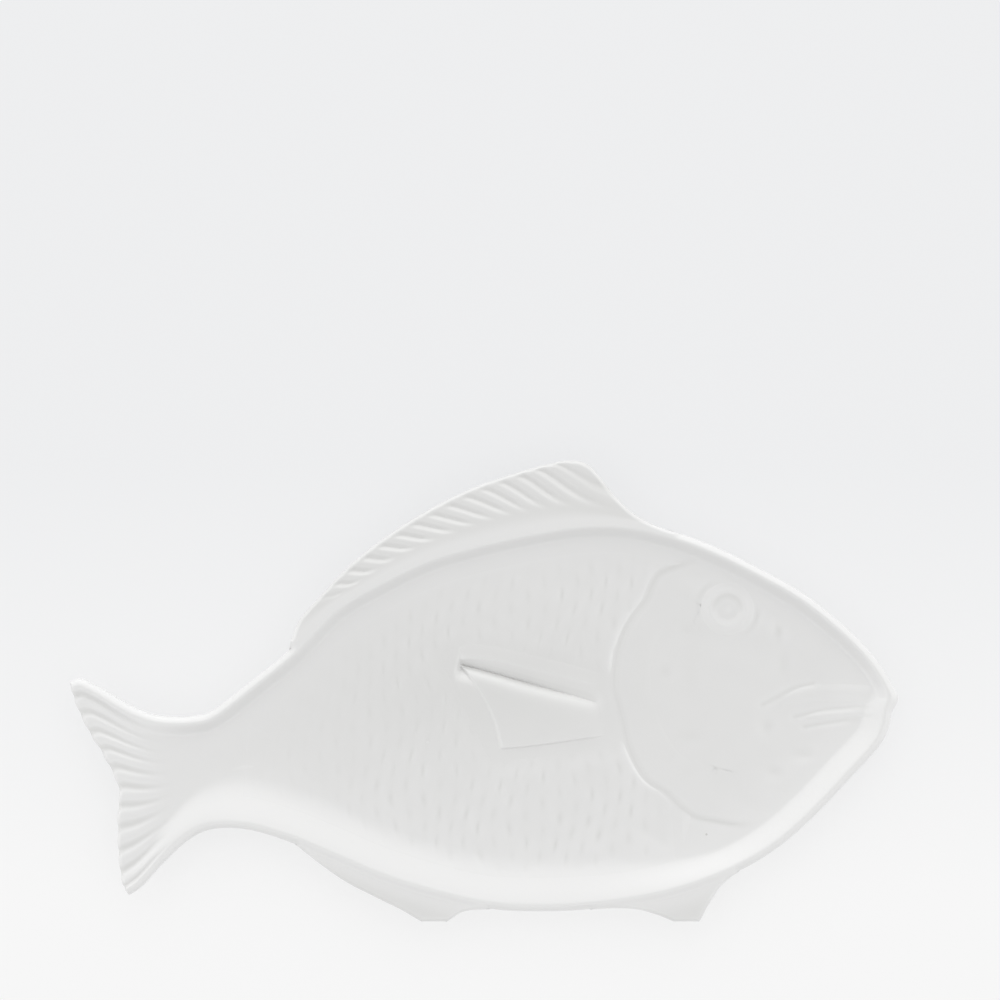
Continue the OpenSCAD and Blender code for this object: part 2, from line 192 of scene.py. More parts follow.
def with_height(xy: Array, z: Array | float) -> Array:
    """Plan points and their height as points in space."""
    return np.concatenate([xy, np.broadcast_to(z, xy.shape[:-1])[..., None]], -1)


@dataclass(frozen=True)
class Sizes:
    """Sizes that the CAD frame gives, in millimetres."""

    length: float
    width: float
    rim_h: float
    floor_top: float
    foot_h: float
    fin_under: float

    @classmethod
    def from_frame(cls) -> Sizes:
        """Reads the sizes from the loaded frame.

        Returns:
            The sizes, in millimetres.
        """
        low, high = (np.array(corner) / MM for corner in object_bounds())
        return cls(length=high[0] - low[0], width=high[1] - low[1], rim_h=high[2],
                   floor_top=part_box("well_floor")[1][2] / MM, foot_h=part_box("foot_ring")[1][2] / MM,
                   fin_under=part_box("dorsal_fin")[0][2] / MM)


@dataclass(frozen=True)
class Sight:
    """Where the photograph's camera stands over the platter, in millimetres."""

    over: tuple[float, float] = (6.4, 76.1)
    above_rim: float = 1050
    well_depth: float = 5.6

    def on_floor(self, points: list | tuple) -> Array:
        """Places on the well's floor that the camera sees behind these places of the rim's plane."""
        centre = np.array(self.over)
        return centre + (np.array(points, float) - centre) * (1 + self.well_depth / self.above_rim)


@dataclass
class Modeller:
    """Turns grids of points into closed pieces with Blender's own operators."""

    smooth_angle: float = math.radians(38)
    merge_mm: float = 0.0004
    full_pool_shade_mm: float = 0.2
    blur_reach: int = 2
    blur_rounds: int = 3
    ridge_share: float = 0.2

    def slab(self, name: str, top: Array, bottom: Array, pool_shade: Array,
             flat_bottom: bool = False) -> bpy.types.Object:
        """Piece between two grids of points, one above the other.

        Args:
            name: Name of the new piece.
            top: Grid of points of the upper skin, in millimetres.
            bottom: Grid of points of the lower skin, with the same rows and columns.
            pool_shade: Share of pooled glaze at each point of the upper skin.
            flat_bottom: Whether the lower skin lies in one plane and may be one face.

        Returns:
            pool_shade: Share of darker tone at each point of the upper skin, pooled glaze and painted shade.
        """
        rows, cols = top.shape[:2]
        bpy.ops.object.select_all(action="DESELECT")
        bpy.ops.mesh.primitive_grid_add(x_subdivisions=cols - 1, y_subdivisions=rows - 1, size=1)
        piece = bpy.context.active_object
        piece.name = piece.data.name = name
        mesh = piece.data
        spot = mesh.attributes.new("spot", "INT", "POINT")
        spot.data.foreach_set("value", np.arange(rows * cols))
        mesh.vertices.foreach_set("co", (top * MM).reshape(-1))
        # Darker tone for the glaze: pooled glaze and painted shade in hollows and along fine lines.
        shade_tint = mesh.attributes.new("pool_shade", "FLOAT", "POINT")
        shade_tint.data.foreach_set("value", pool_shade.reshape(-1))
        bpy.ops.object.mode_set(mode="EDIT")
        bpy.ops.mesh.select_all(action="SELECT")
        bpy.ops.mesh.extrude_region_move(TRANSFORM_OT_translate={"value": (0, 0, -MM)})
        bpy.ops.object.mode_set(mode="OBJECT")
        self.place_lower_skin(mesh, bottom)
        bpy.ops.object.mode_set(mode="EDIT")
        if flat_bottom:
            bpy.ops.mesh.dissolve_faces()
        bpy.ops.mesh.select_all(action="SELECT")
        bpy.ops.mesh.remove_doubles(threshold=self.merge_mm * MM)
        self.face_outwards(mesh)
        bpy.ops.object.mode_set(mode="OBJECT")
        bpy.ops.object.shade_smooth_by_angle(angle=self.smooth_angle)
        return piece

    @staticmethod
    def face_outwards(mesh: bpy.types.Mesh) -> None:
        """Turns all faces of a closed mesh outwards, in edit mode with everything selected.

        Args:
            mesh: Mesh that is being edited.
        """
        bpy.ops.mesh.normals_make_consistent(inside=False)
        if bmesh.from_edit_mesh(mesh).calc_volume(signed=True) < 0:
            bpy.ops.mesh.flip_normals()

    def place_lower_skin(self, mesh: bpy.types.Mesh, bottom: Array) -> None:
        """Moves the vertices that an extrusion has left selected to the lower skin.

        Args:
            mesh: Mesh whose attribute spot holds each vertex's place in the grid.
            bottom: Grid of points of the lower skin, in millimetres.
        """
        count = len(mesh.vertices)
        picked = np.zeros(count, bool)
        mesh.vertices.foreach_get("select", picked)
        spots = np.zeros(count, int)
        mesh.attributes["spot"].data.foreach_get("value", spots)
        places = np.zeros(count * 3)
        mesh.vertices.foreach_get("co", places)
        places = places.reshape(-1, 3)
        places[picked] = (bottom.reshape(-1, 3) * MM)[spots[picked]]
        mesh.vertices.foreach_set("co", places.reshape(-1))
        mesh.attributes.remove(mesh.attributes["spot"])
        mesh.update()

    def cavity_share(self, z: Array) -> Array:
        """How far each point lies below the skin round it, where glaze pools and shade is painted darker.

        Args:
            z: Grid of heights, in millimetres.

        Returns:
            Shares from -1 on a ridge to 1 in a hollow.
        """
        soft = z
        for _ in range(self.blur_rounds):
            soft = self.blurred(self.blurred(soft, 0), 1)
        return np.clip((soft - z) / self.full_pool_shade_mm, -1, 1)

    def glazed(self, relief: Array, painted_shade: Array | float) -> Array:
        """Darker share in the hollows of a relief, pooled glaze and painted shade, over the painted shade
        given.
        """
        pool_shade = self.cavity_share(relief)
        return np.where(pool_shade > 0, pool_shade * (1 - painted_shade), pool_shade * mix(1, self.ridge_share, painted_shade)) + painted_shade

    def blurred(self, grid: Array, axis: int) -> Array:
        """Grid averaged over its neighbours along one axis, and carried on evenly past both ends.

        Args:
            grid: Grid of values.
            axis: Axis to average along.

        Returns:
            Grid of the same shape.
        """
        reach, size = self.blur_reach, grid.shape[axis]
        first, last = (np.take(grid, [k], axis) for k in (0, size - 1))
        before = 2 * first - np.take(grid, range(reach, 0, -1), axis)
        after = 2 * last - np.take(grid, range(size - 2, size - 2 - reach, -1), axis)
        wide = np.concatenate([before, grid, after], axis)
        parts = [np.take(wide, range(k, k + size), axis) for k in range(2 * reach + 1)]
        return sum(parts) / len(parts)

    def ring(self, name: str, loops: Array) -> bpy.types.Object:
        """Closed ring through loops of points.

        Args:
            name: Name of the new piece.
            loops: Points in millimetres, by place along the ring, 256 at most, and place round its section.

        Returns:
            The new piece, with its place in its mesh.
        """
        bpy.ops.object.select_all(action="DESELECT")
        bpy.ops.mesh.primitive_torus_add(major_segments=loops.shape[0], minor_segments=loops.shape[1])
        piece = bpy.context.active_object
        piece.name = piece.data.name = name
        piece.data.vertices.foreach_set("co", (loops * MM).reshape(-1))
        piece.data.update()
        bpy.ops.object.mode_set(mode="EDIT")
        bpy.ops.mesh.select_all(action="SELECT")
        self.face_outwards(piece.data)
        bpy.ops.object.mode_set(mode="OBJECT")
        bpy.ops.object.shade_smooth_by_angle(angle=self.smooth_angle)
        return piece


@dataclass
class Outline:
    """Plan of the whole platter, from tables of shares of its length and width."""

    sizes: Sizes
    lip_reach: float = 3.6
    lip_fall: float = 2.3
    fin_reach: float = 1.7
    back: list = field(default_factory=lambda: [
        [0.172, 0.458], [0.218, 0.521], [0.265, 0.590], [0.317, 0.685], [0.375, 0.747], [0.433, 0.796],
        [0.493, 0.827], [0.555, 0.852], [0.616, 0.869], [0.676, 0.867], [0.737, 0.841], [0.787, 0.806],
        [0.836, 0.762], [0.886, 0.711], [0.935, 0.641], [0.972, 0.573], [0.993, 0.514]])
    snout: list = field(default_factory=lambda: [[1, 0.484], [0.993, 0.454], [0.989, 0.423], [0.977, 0.380]])
    belly: list = field(default_factory=lambda: [
        [0.942, 0.311], [0.901, 0.233], [0.857, 0.164], [0.808, 0.110], [0.748, 0.067], [0.688, 0.041],
        [0.628, 0.027], [0.567, 0.023], [0.507, 0.028], [0.447, 0.050], [0.381, 0.086], [0.320, 0.132],
        [0.272, 0.168], [0.218, 0.199], [0.172, 0.201]])
    dorsal_edge: list = field(default_factory=lambda: [
        [0.268, 0.615], [0.277, 0.654], [0.300, 0.702], [0.339, 0.775], [0.381, 0.834], [0.429, 0.889],
        [0.483, 0.938], [0.537, 0.972], [0.575, 0.991], [0.602, 1], [0.617, 0.998]])
    dorsal_front: list = field(default_factory=lambda: [
        [0.737, 0.841], [0.717, 0.852], [0.698, 0.866], [0.678, 0.888], [0.660, 0.919], [0.646, 0.949],
        [0.636, 0.972], [0.628, 0.988], [0.617, 0.998]])
    anal_edge: list = field(default_factory=lambda: [
        [0.507, 0.0276], [0.476, 0.022], [0.452, -0.002], [0.428, -0.002], [0.399, 0.026], [0.365, 0.056],
        [0.333, 0.086], [0.301, 0.126], [0.272, 0.1676]])
    pelvic_edge: list = field(default_factory=lambda: [
        [0.808, 0.1096], [0.787, 0.078], [0.770, 0.032], [0.758, -0.002], [0.734, -0.002], [0.710, 0.014],
        [0.686, 0.026], [0.658, 0.029], [0.628, 0.0266]])
    tail_top: list = field(default_factory=lambda: [
        [0.172, 0.458], [0.149, 0.446], [0.127, 0.444], [0.104, 0.448], [0.081, 0.462], [0.057, 0.485],
        [0.034, 0.510], [0.013, 0.527], [0, 0.521]])
    tail_low: list = field(default_factory=lambda: [
        [0.172, 0.201], [0.142, 0.175], [0.113, 0.127], [0.088, 0.078], [0.072, 0.058]])
    tail_end: list = field(default_factory=lambda: [
        [0, 0.521], [0.006, 0.475], [0.022, 0.413], [0.042, 0.354], [0.058, 0.289], [0.057, 0.222],
        [0.058, 0.147], [0.063, 0.084], [0.072, 0.058]])
    spine: tuple[float, float] = (0.33, 0.47)
    fan_reach: float = 0.25
    way_reach: float = 4 / 3
    least_slant: float = 0.6
    dorsal_join: tuple[int, int] = (2, 10)
    pelvic_join: tuple[int, int] = (24, 27)
    anal_join: tuple[int, int] = (29, 33)
    snout_tip: float = 17.4
    edge_samples: int = 12

    def __post_init__(self) -> None:
        """Works out the joined outline, its bare and finned edges and its two sides."""
        rim_table = self.back + self.snout + self.belly
        self.last = len(rim_table) - 1
        self.before = len(self.tail_top) - 1
        self.after = len(self.tail_low) - 1
        self.joined = np.array(self.tail_top[:0:-1] + rim_table + self.tail_low[1:], float)
        end = self.last + self.after
        gaps = [(-self.before, self.dorsal_join[0]), (self.dorsal_join[1], self.pelvic_join[0]),
                (self.pelvic_join[1], self.anal_join[0]), (self.anal_join[1], end)]
        self.bare_edges = [self.stretch(*gap) for gap in gaps]
        self.fin_edges = [self.place(whole_curve(np.array(table, float), self.edge_samples)) for table in (
            self.dorsal_edge, self.dorsal_front, self.pelvic_edge, self.anal_edge, self.tail_end)]
        self.upper_side = self.stretch(-self.before, self.snout_tip)
        self.lower_side = self.stretch(self.snout_tip, end)

    def place(self, shares: Array) -> Array:
        """Plan points in millimetres from shares, never outside the overall size."""
        return (np.clip(shares, 0, 1) - 0.5) * np.array([self.sizes.length, self.sizes.width])

    def along(self, table: list, t: Array) -> Array:
        """Plan points on the curve through one of the tables."""
        return self.place(curve(np.array(table, float), t))

    def rim(self, t: Array) -> Array:
        """Rim's outer edge at places in its table; it goes on along the tail's edges beyond both ends."""
        return self.place(curve(self.joined, np.asarray(t, float) + self.before))

    def stretch(self, start: float, end: float) -> Array:
        """The rim's outer edge between two places, as a polyline."""
        return self.rim(np.linspace(start, end, int((end - start) * self.edge_samples) + 1))

    def inward(self, t: Array) -> Array:
        """Way in from the rim, with the length that makes an inset of one millimetre.

        Args:
            t: Places in the rim's table.

        Returns:
            A way for each place.
        """
        p = self.rim(t)
        over = np.maximum(0, p[..., 0])
        x = p[..., 0] - self.fan_reach * over ** 2 / (self.sizes.length / 2)
        y = (mix(*self.spine, x / self.sizes.length + 0.5) - 0.5) * self.sizes.width
        way = unit(np.stack([x, y], -1) - p)
        ahead = unit(self.rim(t + self.way_reach) - self.rim(t - self.way_reach))
        cross = ahead[..., 1] * way[..., 0] - ahead[..., 0] * way[..., 1]
        return way / np.maximum(self.least_slant, cross)[..., None]

    def inset(self, t: Array, w: Array | float) -> Array:
        """Plan points a distance in from the rim."""
        w = np.asarray(w, float)
        return self.rim(t) + self.inward(t) * (w[..., None] if w.ndim else w)

    def edge_steps(self) -> Array:
        """Distances in from a rounded fin edge, closer together towards it."""
        return self.fin_reach * (1 - np.cos(np.linspace(np.pi / 2, 0, 9)))

    def edge_fall(self, xy: Array) -> Array:
        """How far the upper skin falls over its rounded outer edges.

        Args:
            xy: Plan points.

        Returns:
            Falls in millimetres, 0 away from the edges.
        """
        falls = []
        for lines, reach, depth in ((self.bare_edges, self.lip_reach, self.lip_fall),
                                    (self.fin_edges, self.fin_reach, self.fin_reach)):
            near = np.clip(1 - nearest(xy, lines) / reach, 0, 1)
            falls.append(depth * (1 - np.sqrt(1 - near ** 2)))
        return np.maximum(*falls)


@dataclass(frozen=True)
class Glaze:
    """Milky white glaze, thin and warm on the edges, darker in the hollows with pooled glaze and painted
    shade.
    """

    name: str = "milky_glaze"
    body: tuple = (0.80, 0.80, 0.796, 1)
    pooled_shade_tone: tuple = (0.70, 0.70, 0.69, 1)
    thin: tuple = (0.825, 0.823, 0.815, 1)
    speck_tone: tuple = (0.42, 0.40, 0.37, 1)
    roughness: tuple[float, float] = (0.26, 0.34)
    coat: float = 0.9
    coat_roughness: float = 0.2
    ridge_share: float = 0.25
    veil_share: float = 0.3
    veil_scale: float = 22
    speck_share: float = 0.45
    speck_scale: float = 90
    speck_from: float = 0.955
    speck_reach: float = 0.04
    patch_scale: float = 60
    wave_scale: float = 150
    fine_scale: float = 1400
    fine_height: float = 0.08
    pinhole_depth: float = 0.5
    skin_strength: float = 0.12
    skin_height: float = 0.0004

    def material(self) -> bpy.types.Material:
        """Node material of the glaze.

        Returns:
            The new material.
        """
        kit = NodeKit(self.name)
        place = kit.place()
        # Painted shade and pooled glaze: the attribute's share darkens hollows, fine lines and the well's
        # middle; ridges turn lighter where the glaze runs thin.
        pool_shade = kit.add("ShaderNodeAttribute", attribute_name="pool_shade").outputs["Fac"]
        deep = kit.spread(pool_shade, low=0.0, high=1.0)
        raised = kit.spread(kit.math("MULTIPLY", pool_shade, -self.ridge_share), low=0.0, high=1.0)
        colour = kit.mix_colour(deep, self.body, self.pooled_shade_tone)
        colour = kit.mix_colour(raised, colour, self.thin)
        veil = kit.spread(kit.noise(place, scale=self.veil_scale, detail=5), low=0.1, high=0.9)
        colour = kit.mix_colour(kit.math("MULTIPLY", veil, self.veil_share), colour, self.thin)
        speck = self.specks(kit, place)
        colour = kit.mix_colour(kit.math("MULTIPLY", speck, self.speck_share), colour, self.speck_tone)
        patchy = kit.noise(place, scale=self.patch_scale, detail=4)
        rough = kit.math("MULTIPLY", patchy, self.roughness[1] - self.roughness[0])
        wavy = kit.noise(place, scale=self.wave_scale, detail=2)
        fine = kit.math("MULTIPLY", kit.noise(place, scale=self.fine_scale, detail=1), self.fine_height)
        pinholes = kit.math("MULTIPLY", speck, self.pinhole_depth)
        skin = kit.math("SUBTRACT", kit.math("ADD", wavy, fine), pinholes)
        kit.link(colour, kit.shader.inputs["Base Color"])
        kit.link(kit.math("ADD", rough, self.roughness[0]), kit.shader.inputs["Roughness"])
        kit.link(kit.bump(skin, self.skin_strength, self.skin_height), kit.shader.inputs["Normal"])
        kit.shader.inputs["Coat Weight"].default_value = self.coat
        kit.shader.inputs["Coat Roughness"].default_value = self.coat_roughness
        return kit.material

    def specks(self, kit: NodeKit, place: bpy.types.NodeSocket) -> bpy.types.NodeSocket:
        """Rare small specks and pinholes, as a share.

        Args:
            kit: Nodes of the glaze.
            place: Place on the object, in metres.

        Returns:
            Socket that gives 1 on a speck and 0 beside it.
        """
        cells = kit.add("ShaderNodeTexVoronoi")
        cells.inputs["Scale"].default_value = self.speck_scale
        kit.link(place, cells.inputs["Vector"])
        rare = kit.math("GREATER_THAN", kit.channel(cells.outputs["Color"]), self.speck_from)
        close = kit.math("LESS_THAN", cells.outputs["Distance"], self.speck_reach)
        return kit.math("MULTIPLY", rare, close)


@dataclass(frozen=True)
class BareClay:
    """Unglazed biscuit where the platter stood in the kiln, with grit and rubbed patches."""

    name: str = "bare_clay_foot"
    pale: tuple = (0.80, 0.75, 0.67, 1)
    dark: tuple = (0.66, 0.59, 0.49, 1)
    grit_tone: tuple = (0.45, 0.39, 0.32, 1)
    roughness: float = 0.88
    rub_scale: float = 45
    grit_scale: float = 2200
    grit_strength: float = 0.5
    grit_height: float = 0.0003

    def material(self) -> bpy.types.Material:
        """Node material of the bare clay.

        Returns:
            The new material.
        """
        kit = NodeKit(self.name)
        place = kit.place()
        rubbed = kit.spread(kit.noise(place, scale=self.rub_scale, detail=5), low=0.35, high=0.7)
        colour = kit.mix_colour(rubbed, self.pale, self.dark)
        grit = kit.noise(place, scale=self.grit_scale, detail=3)
        colour = kit.mix_colour(kit.spread(grit, low=0.62, high=0.72), colour, self.grit_tone)
        kit.link(colour, kit.shader.inputs["Base Color"])
        kit.link(kit.bump(grit, self.grit_strength, self.grit_height), kit.shader.inputs["Normal"])
        kit.shader.inputs["Roughness"].default_value = self.roughness
        return kit.material


class NodeKit:
    """Short ways to add and join material nodes."""

    def __init__(self, name: str) -> None:
        """Starts a new node material of that name.

        Args:
            name: Name of the material.
        """
        self.material = bpy.data.materials.new(name)
        self.material.use_nodes = True
        self.nodes = self.material.node_tree.nodes
        self.shader = self.nodes["Principled BSDF"]

    def add(self, kind: str, **values: object) -> bpy.types.Node:
        """Adds a node and sets its own values.

        Args:
            kind: Type of the node.
            values: The node's own values by their names.

        Returns:
            The new node.
        """
        node = self.nodes.new(kind)
        for key, value in values.items():
            setattr(node, key, value)
        return node

    def link(self, source: bpy.types.NodeSocket, target: bpy.types.NodeSocket) -> None:
        """Joins two sockets."""
        self.material.node_tree.links.new(source, target)

    def feed(self, socket: bpy.types.NodeSocket, value: object) -> None:
        """Gives a socket a link or a plain value.

        Args:
            socket: Socket to feed.
            value: Another node's socket, or a plain value.
        """
        if isinstance(value, bpy.types.NodeSocket):
            self.link(value, socket)
        else:
            socket.default_value = value

    def place(self) -> bpy.types.NodeSocket:
        """Place on the object, in metres."""
        return self.add("ShaderNodeTexCoord").outputs["Object"]

    def noise(self, place: bpy.types.NodeSocket, scale: float, detail: float) -> bpy.types.NodeSocket:
        """Soft noise at a number of cycles to the metre.

        Args:
            place: Place on the object, in metres.
            scale: Cycles to the metre.
            detail: How many finer layers it has.

        Returns:
            Socket with the noise.
        """
        node = self.add("ShaderNodeTexNoise")
        node.inputs["Scale"].default_value = scale
        node.inputs["Detail"].default_value = detail
        self.link(place, node.inputs["Vector"])
        return node.outputs["Fac"]

    def math(self, operation: str, first: object, second: object) -> bpy.types.NodeSocket:
        """Result of a sum on two values.

        Args:
            operation: Name of the sum.
            first: A socket or a plain value.
            second: A socket or a plain value.

        Returns:
            Socket with the result.
        """
        node = self.add("ShaderNodeMath", operation=operation)
        self.feed(node.inputs[0], first)
        self.feed(node.inputs[1], second)
        return node.outputs[0]

    def channel(self, colour: bpy.types.NodeSocket) -> bpy.types.NodeSocket:
        """First channel of a colour.

        Args:
            colour: Socket with a colour.

        Returns:
            Socket with its first channel.
        """
        node = self.add("ShaderNodeSeparateColor")
        self.link(colour, node.inputs["Color"])
        return node.outputs["Red"]

    def spread(self, value: object, low: float, high: float) -> bpy.types.NodeSocket:
        """Value spread from low..high to 0..1 and held at both ends.

        Args:
            value: A socket or a plain value.
            low: Value that gives 0.
            high: Value that gives 1.

        Returns:
            Socket with the share.
        """
        node = self.add("ShaderNodeMapRange", clamp=True)
        self.feed(node.inputs["Value"], value)
        node.inputs["From Min"].default_value = low
        node.inputs["From Max"].default_value = high
        return node.outputs["Result"]

    def mix_colour(self, share: object, first: object, second: object) -> bpy.types.NodeSocket:
        """Colour between two colours.

        Args:
            share: Share of the second colour.
            first: A socket or a plain colour.
            second: A socket or a plain colour.

        Returns:
            Socket with the colour.
        """
        node = self.add("ShaderNodeMixRGB")
        for socket, value in zip(node.inputs, (share, first, second)):
            self.feed(socket, value)
        return node.outputs["Color"]

    def bump(self, height: bpy.types.NodeSocket, strength: float, depth: float) -> bpy.types.NodeSocket:
        """Bumped normal.

        Args:
            height: Socket with the height.
            strength: Share of the bump that shows.
            depth: Height of a full bump, in metres.

        Returns:
            Socket with the normal.
        """
        node = self.add("ShaderNodeBump")
        node.inputs["Strength"].default_value = strength
        node.inputs["Distance"].default_value = depth
        self.link(height, node.inputs["Height"])
        return node.outputs["Normal"]


@dataclass(frozen=True)
class Dent:
    """A soft dent in the floor, or a swelling where its depth is negative."""

    centre: tuple[float, float]
    depth: float
    wide: float
    high: float


@dataclass(frozen=True)
class SoftForms:
    """Soft swellings, dents and lines that the floor itself has."""

    sight: Sight
    head: Dent = Dent((104, -2), -0.5, 26, 34)
    brow: tuple = ((84, 46), (104, 43), (124, 30), (138, 14))
    brow_height: float = 0.2
    brow_reach: float = 6
    dents: tuple = (
        Dent((117.3, 24.5), 0.4, 2.2, 3.6), Dent((119.2, 11.5), 0.24, 3.0, 5.0),
        Dent((112.5, -14.1), 0.34, 3.0, 3.4), Dent((127.6, -25.2), 0.3, 4.6, 2.6),
        Dent((115.7, -32), 0.26, 3.4, 2.6), Dent((82, 5), 0.26, 5, 9), Dent((72, 8), 0.2, 3, 3),
        Dent((84, 24), 0.16, 5, 4), Dent((82, -18), 0.16, 6, 3), Dent((98, 14), -0.2, 9, 6))
    socket_depth: float = 0.26
    socket_radius: float = 12.2
    socket_reach: float = 1.2
    socket_turn: float = 1.0
    socket_base: float = 0.55
    socket_swing: float = 0.75
    ripple_height: float = 0.05
    gill_depth: float = 0.16
    gill_tips: float = 16
    mouth_depth: float = 0.2
    mouth_reach: float = 1.1

    def height(self, xy: Array) -> Array:
        """Height of all the soft forms together above the floor's own level.

        Args:
            xy: Plan points.

        Returns:
            Heights in millimetres.
        """
        at = self.sight.on_floor
        total = -self.head.depth * mound(xy, self.head.centre, self.head.wide, self.head.high)
        total = total + self.brow_height * bump(distance(xy, at(self.brow)), self.brow_reach)
        for dent in self.dents:
            total = total - dent.depth * mound(xy, at([dent.centre])[0], dent.wide, dent.high)
        total = total - self.socket(xy) + self.ripple_height * self.ripple(xy)
        total = total - self.gill_depth * self.gill_line(xy, shift=0.3, reach=1.1)
        return total - self.mouth_depth * self.mouth_lines(xy)

    def socket(self, xy: Array) -> Array:
        """Depth of the soft arc round the eye, deepest above it.

        Args:
            xy: Plan points.

        Returns:
            Depths in millimetres.
        """
        offset = xy - self.sight.on_floor([Eye.centre])[0]
        turn = np.arctan2(offset[..., 1], offset[..., 0])
        ring = bump(np.linalg.norm(offset, axis=-1) - self.socket_radius, self.socket_reach)
        around = ease(self.socket_base + self.socket_swing * np.cos(turn - self.socket_turn))
        return self.socket_depth * ring * around

    @staticmethod
    def ripple(xy: Array) -> Array:
        """Slow unevenness of the clay, from -1 to 1."""
        x, y = xy[..., 0], xy[..., 1]
        return np.sin(x / 4.3 + 1.3 * np.sin(y / 7.9)) * np.sin(y / 3.7 + 1.1 * np.sin(x / 9.3))

    def gill_line(self, xy: Array, shift: float, reach: float) -> Array:
        """Soft line along the edge of the gill cover, as a share that fades towards both ends.

        Args:
            xy: Plan points.
            shift: How far the line lies beyond the edge, towards the snout.
            reach: Distance at which the line is about a third of its full share.

        Returns:
            Shares from 0 to 1.
        """
        gill = evenly(self.sight.on_floor(GillCover.line), 110)
        tips = ease(np.minimum(*(np.linalg.norm(xy - gill[k], axis=-1) for k in (0, -1))) / self.gill_tips)
        return bump(distance(xy, gill + [shift, 0]), reach) * tips

    def mouth_lines(self, xy: Array) -> Array:
        """Soft lines beside the folds of the mouth, as a share."""
        lines = [evenly(self.sight.on_floor(table), 30) for table in Mouth.lines]
        return bump(nearest(xy, lines), self.mouth_reach)


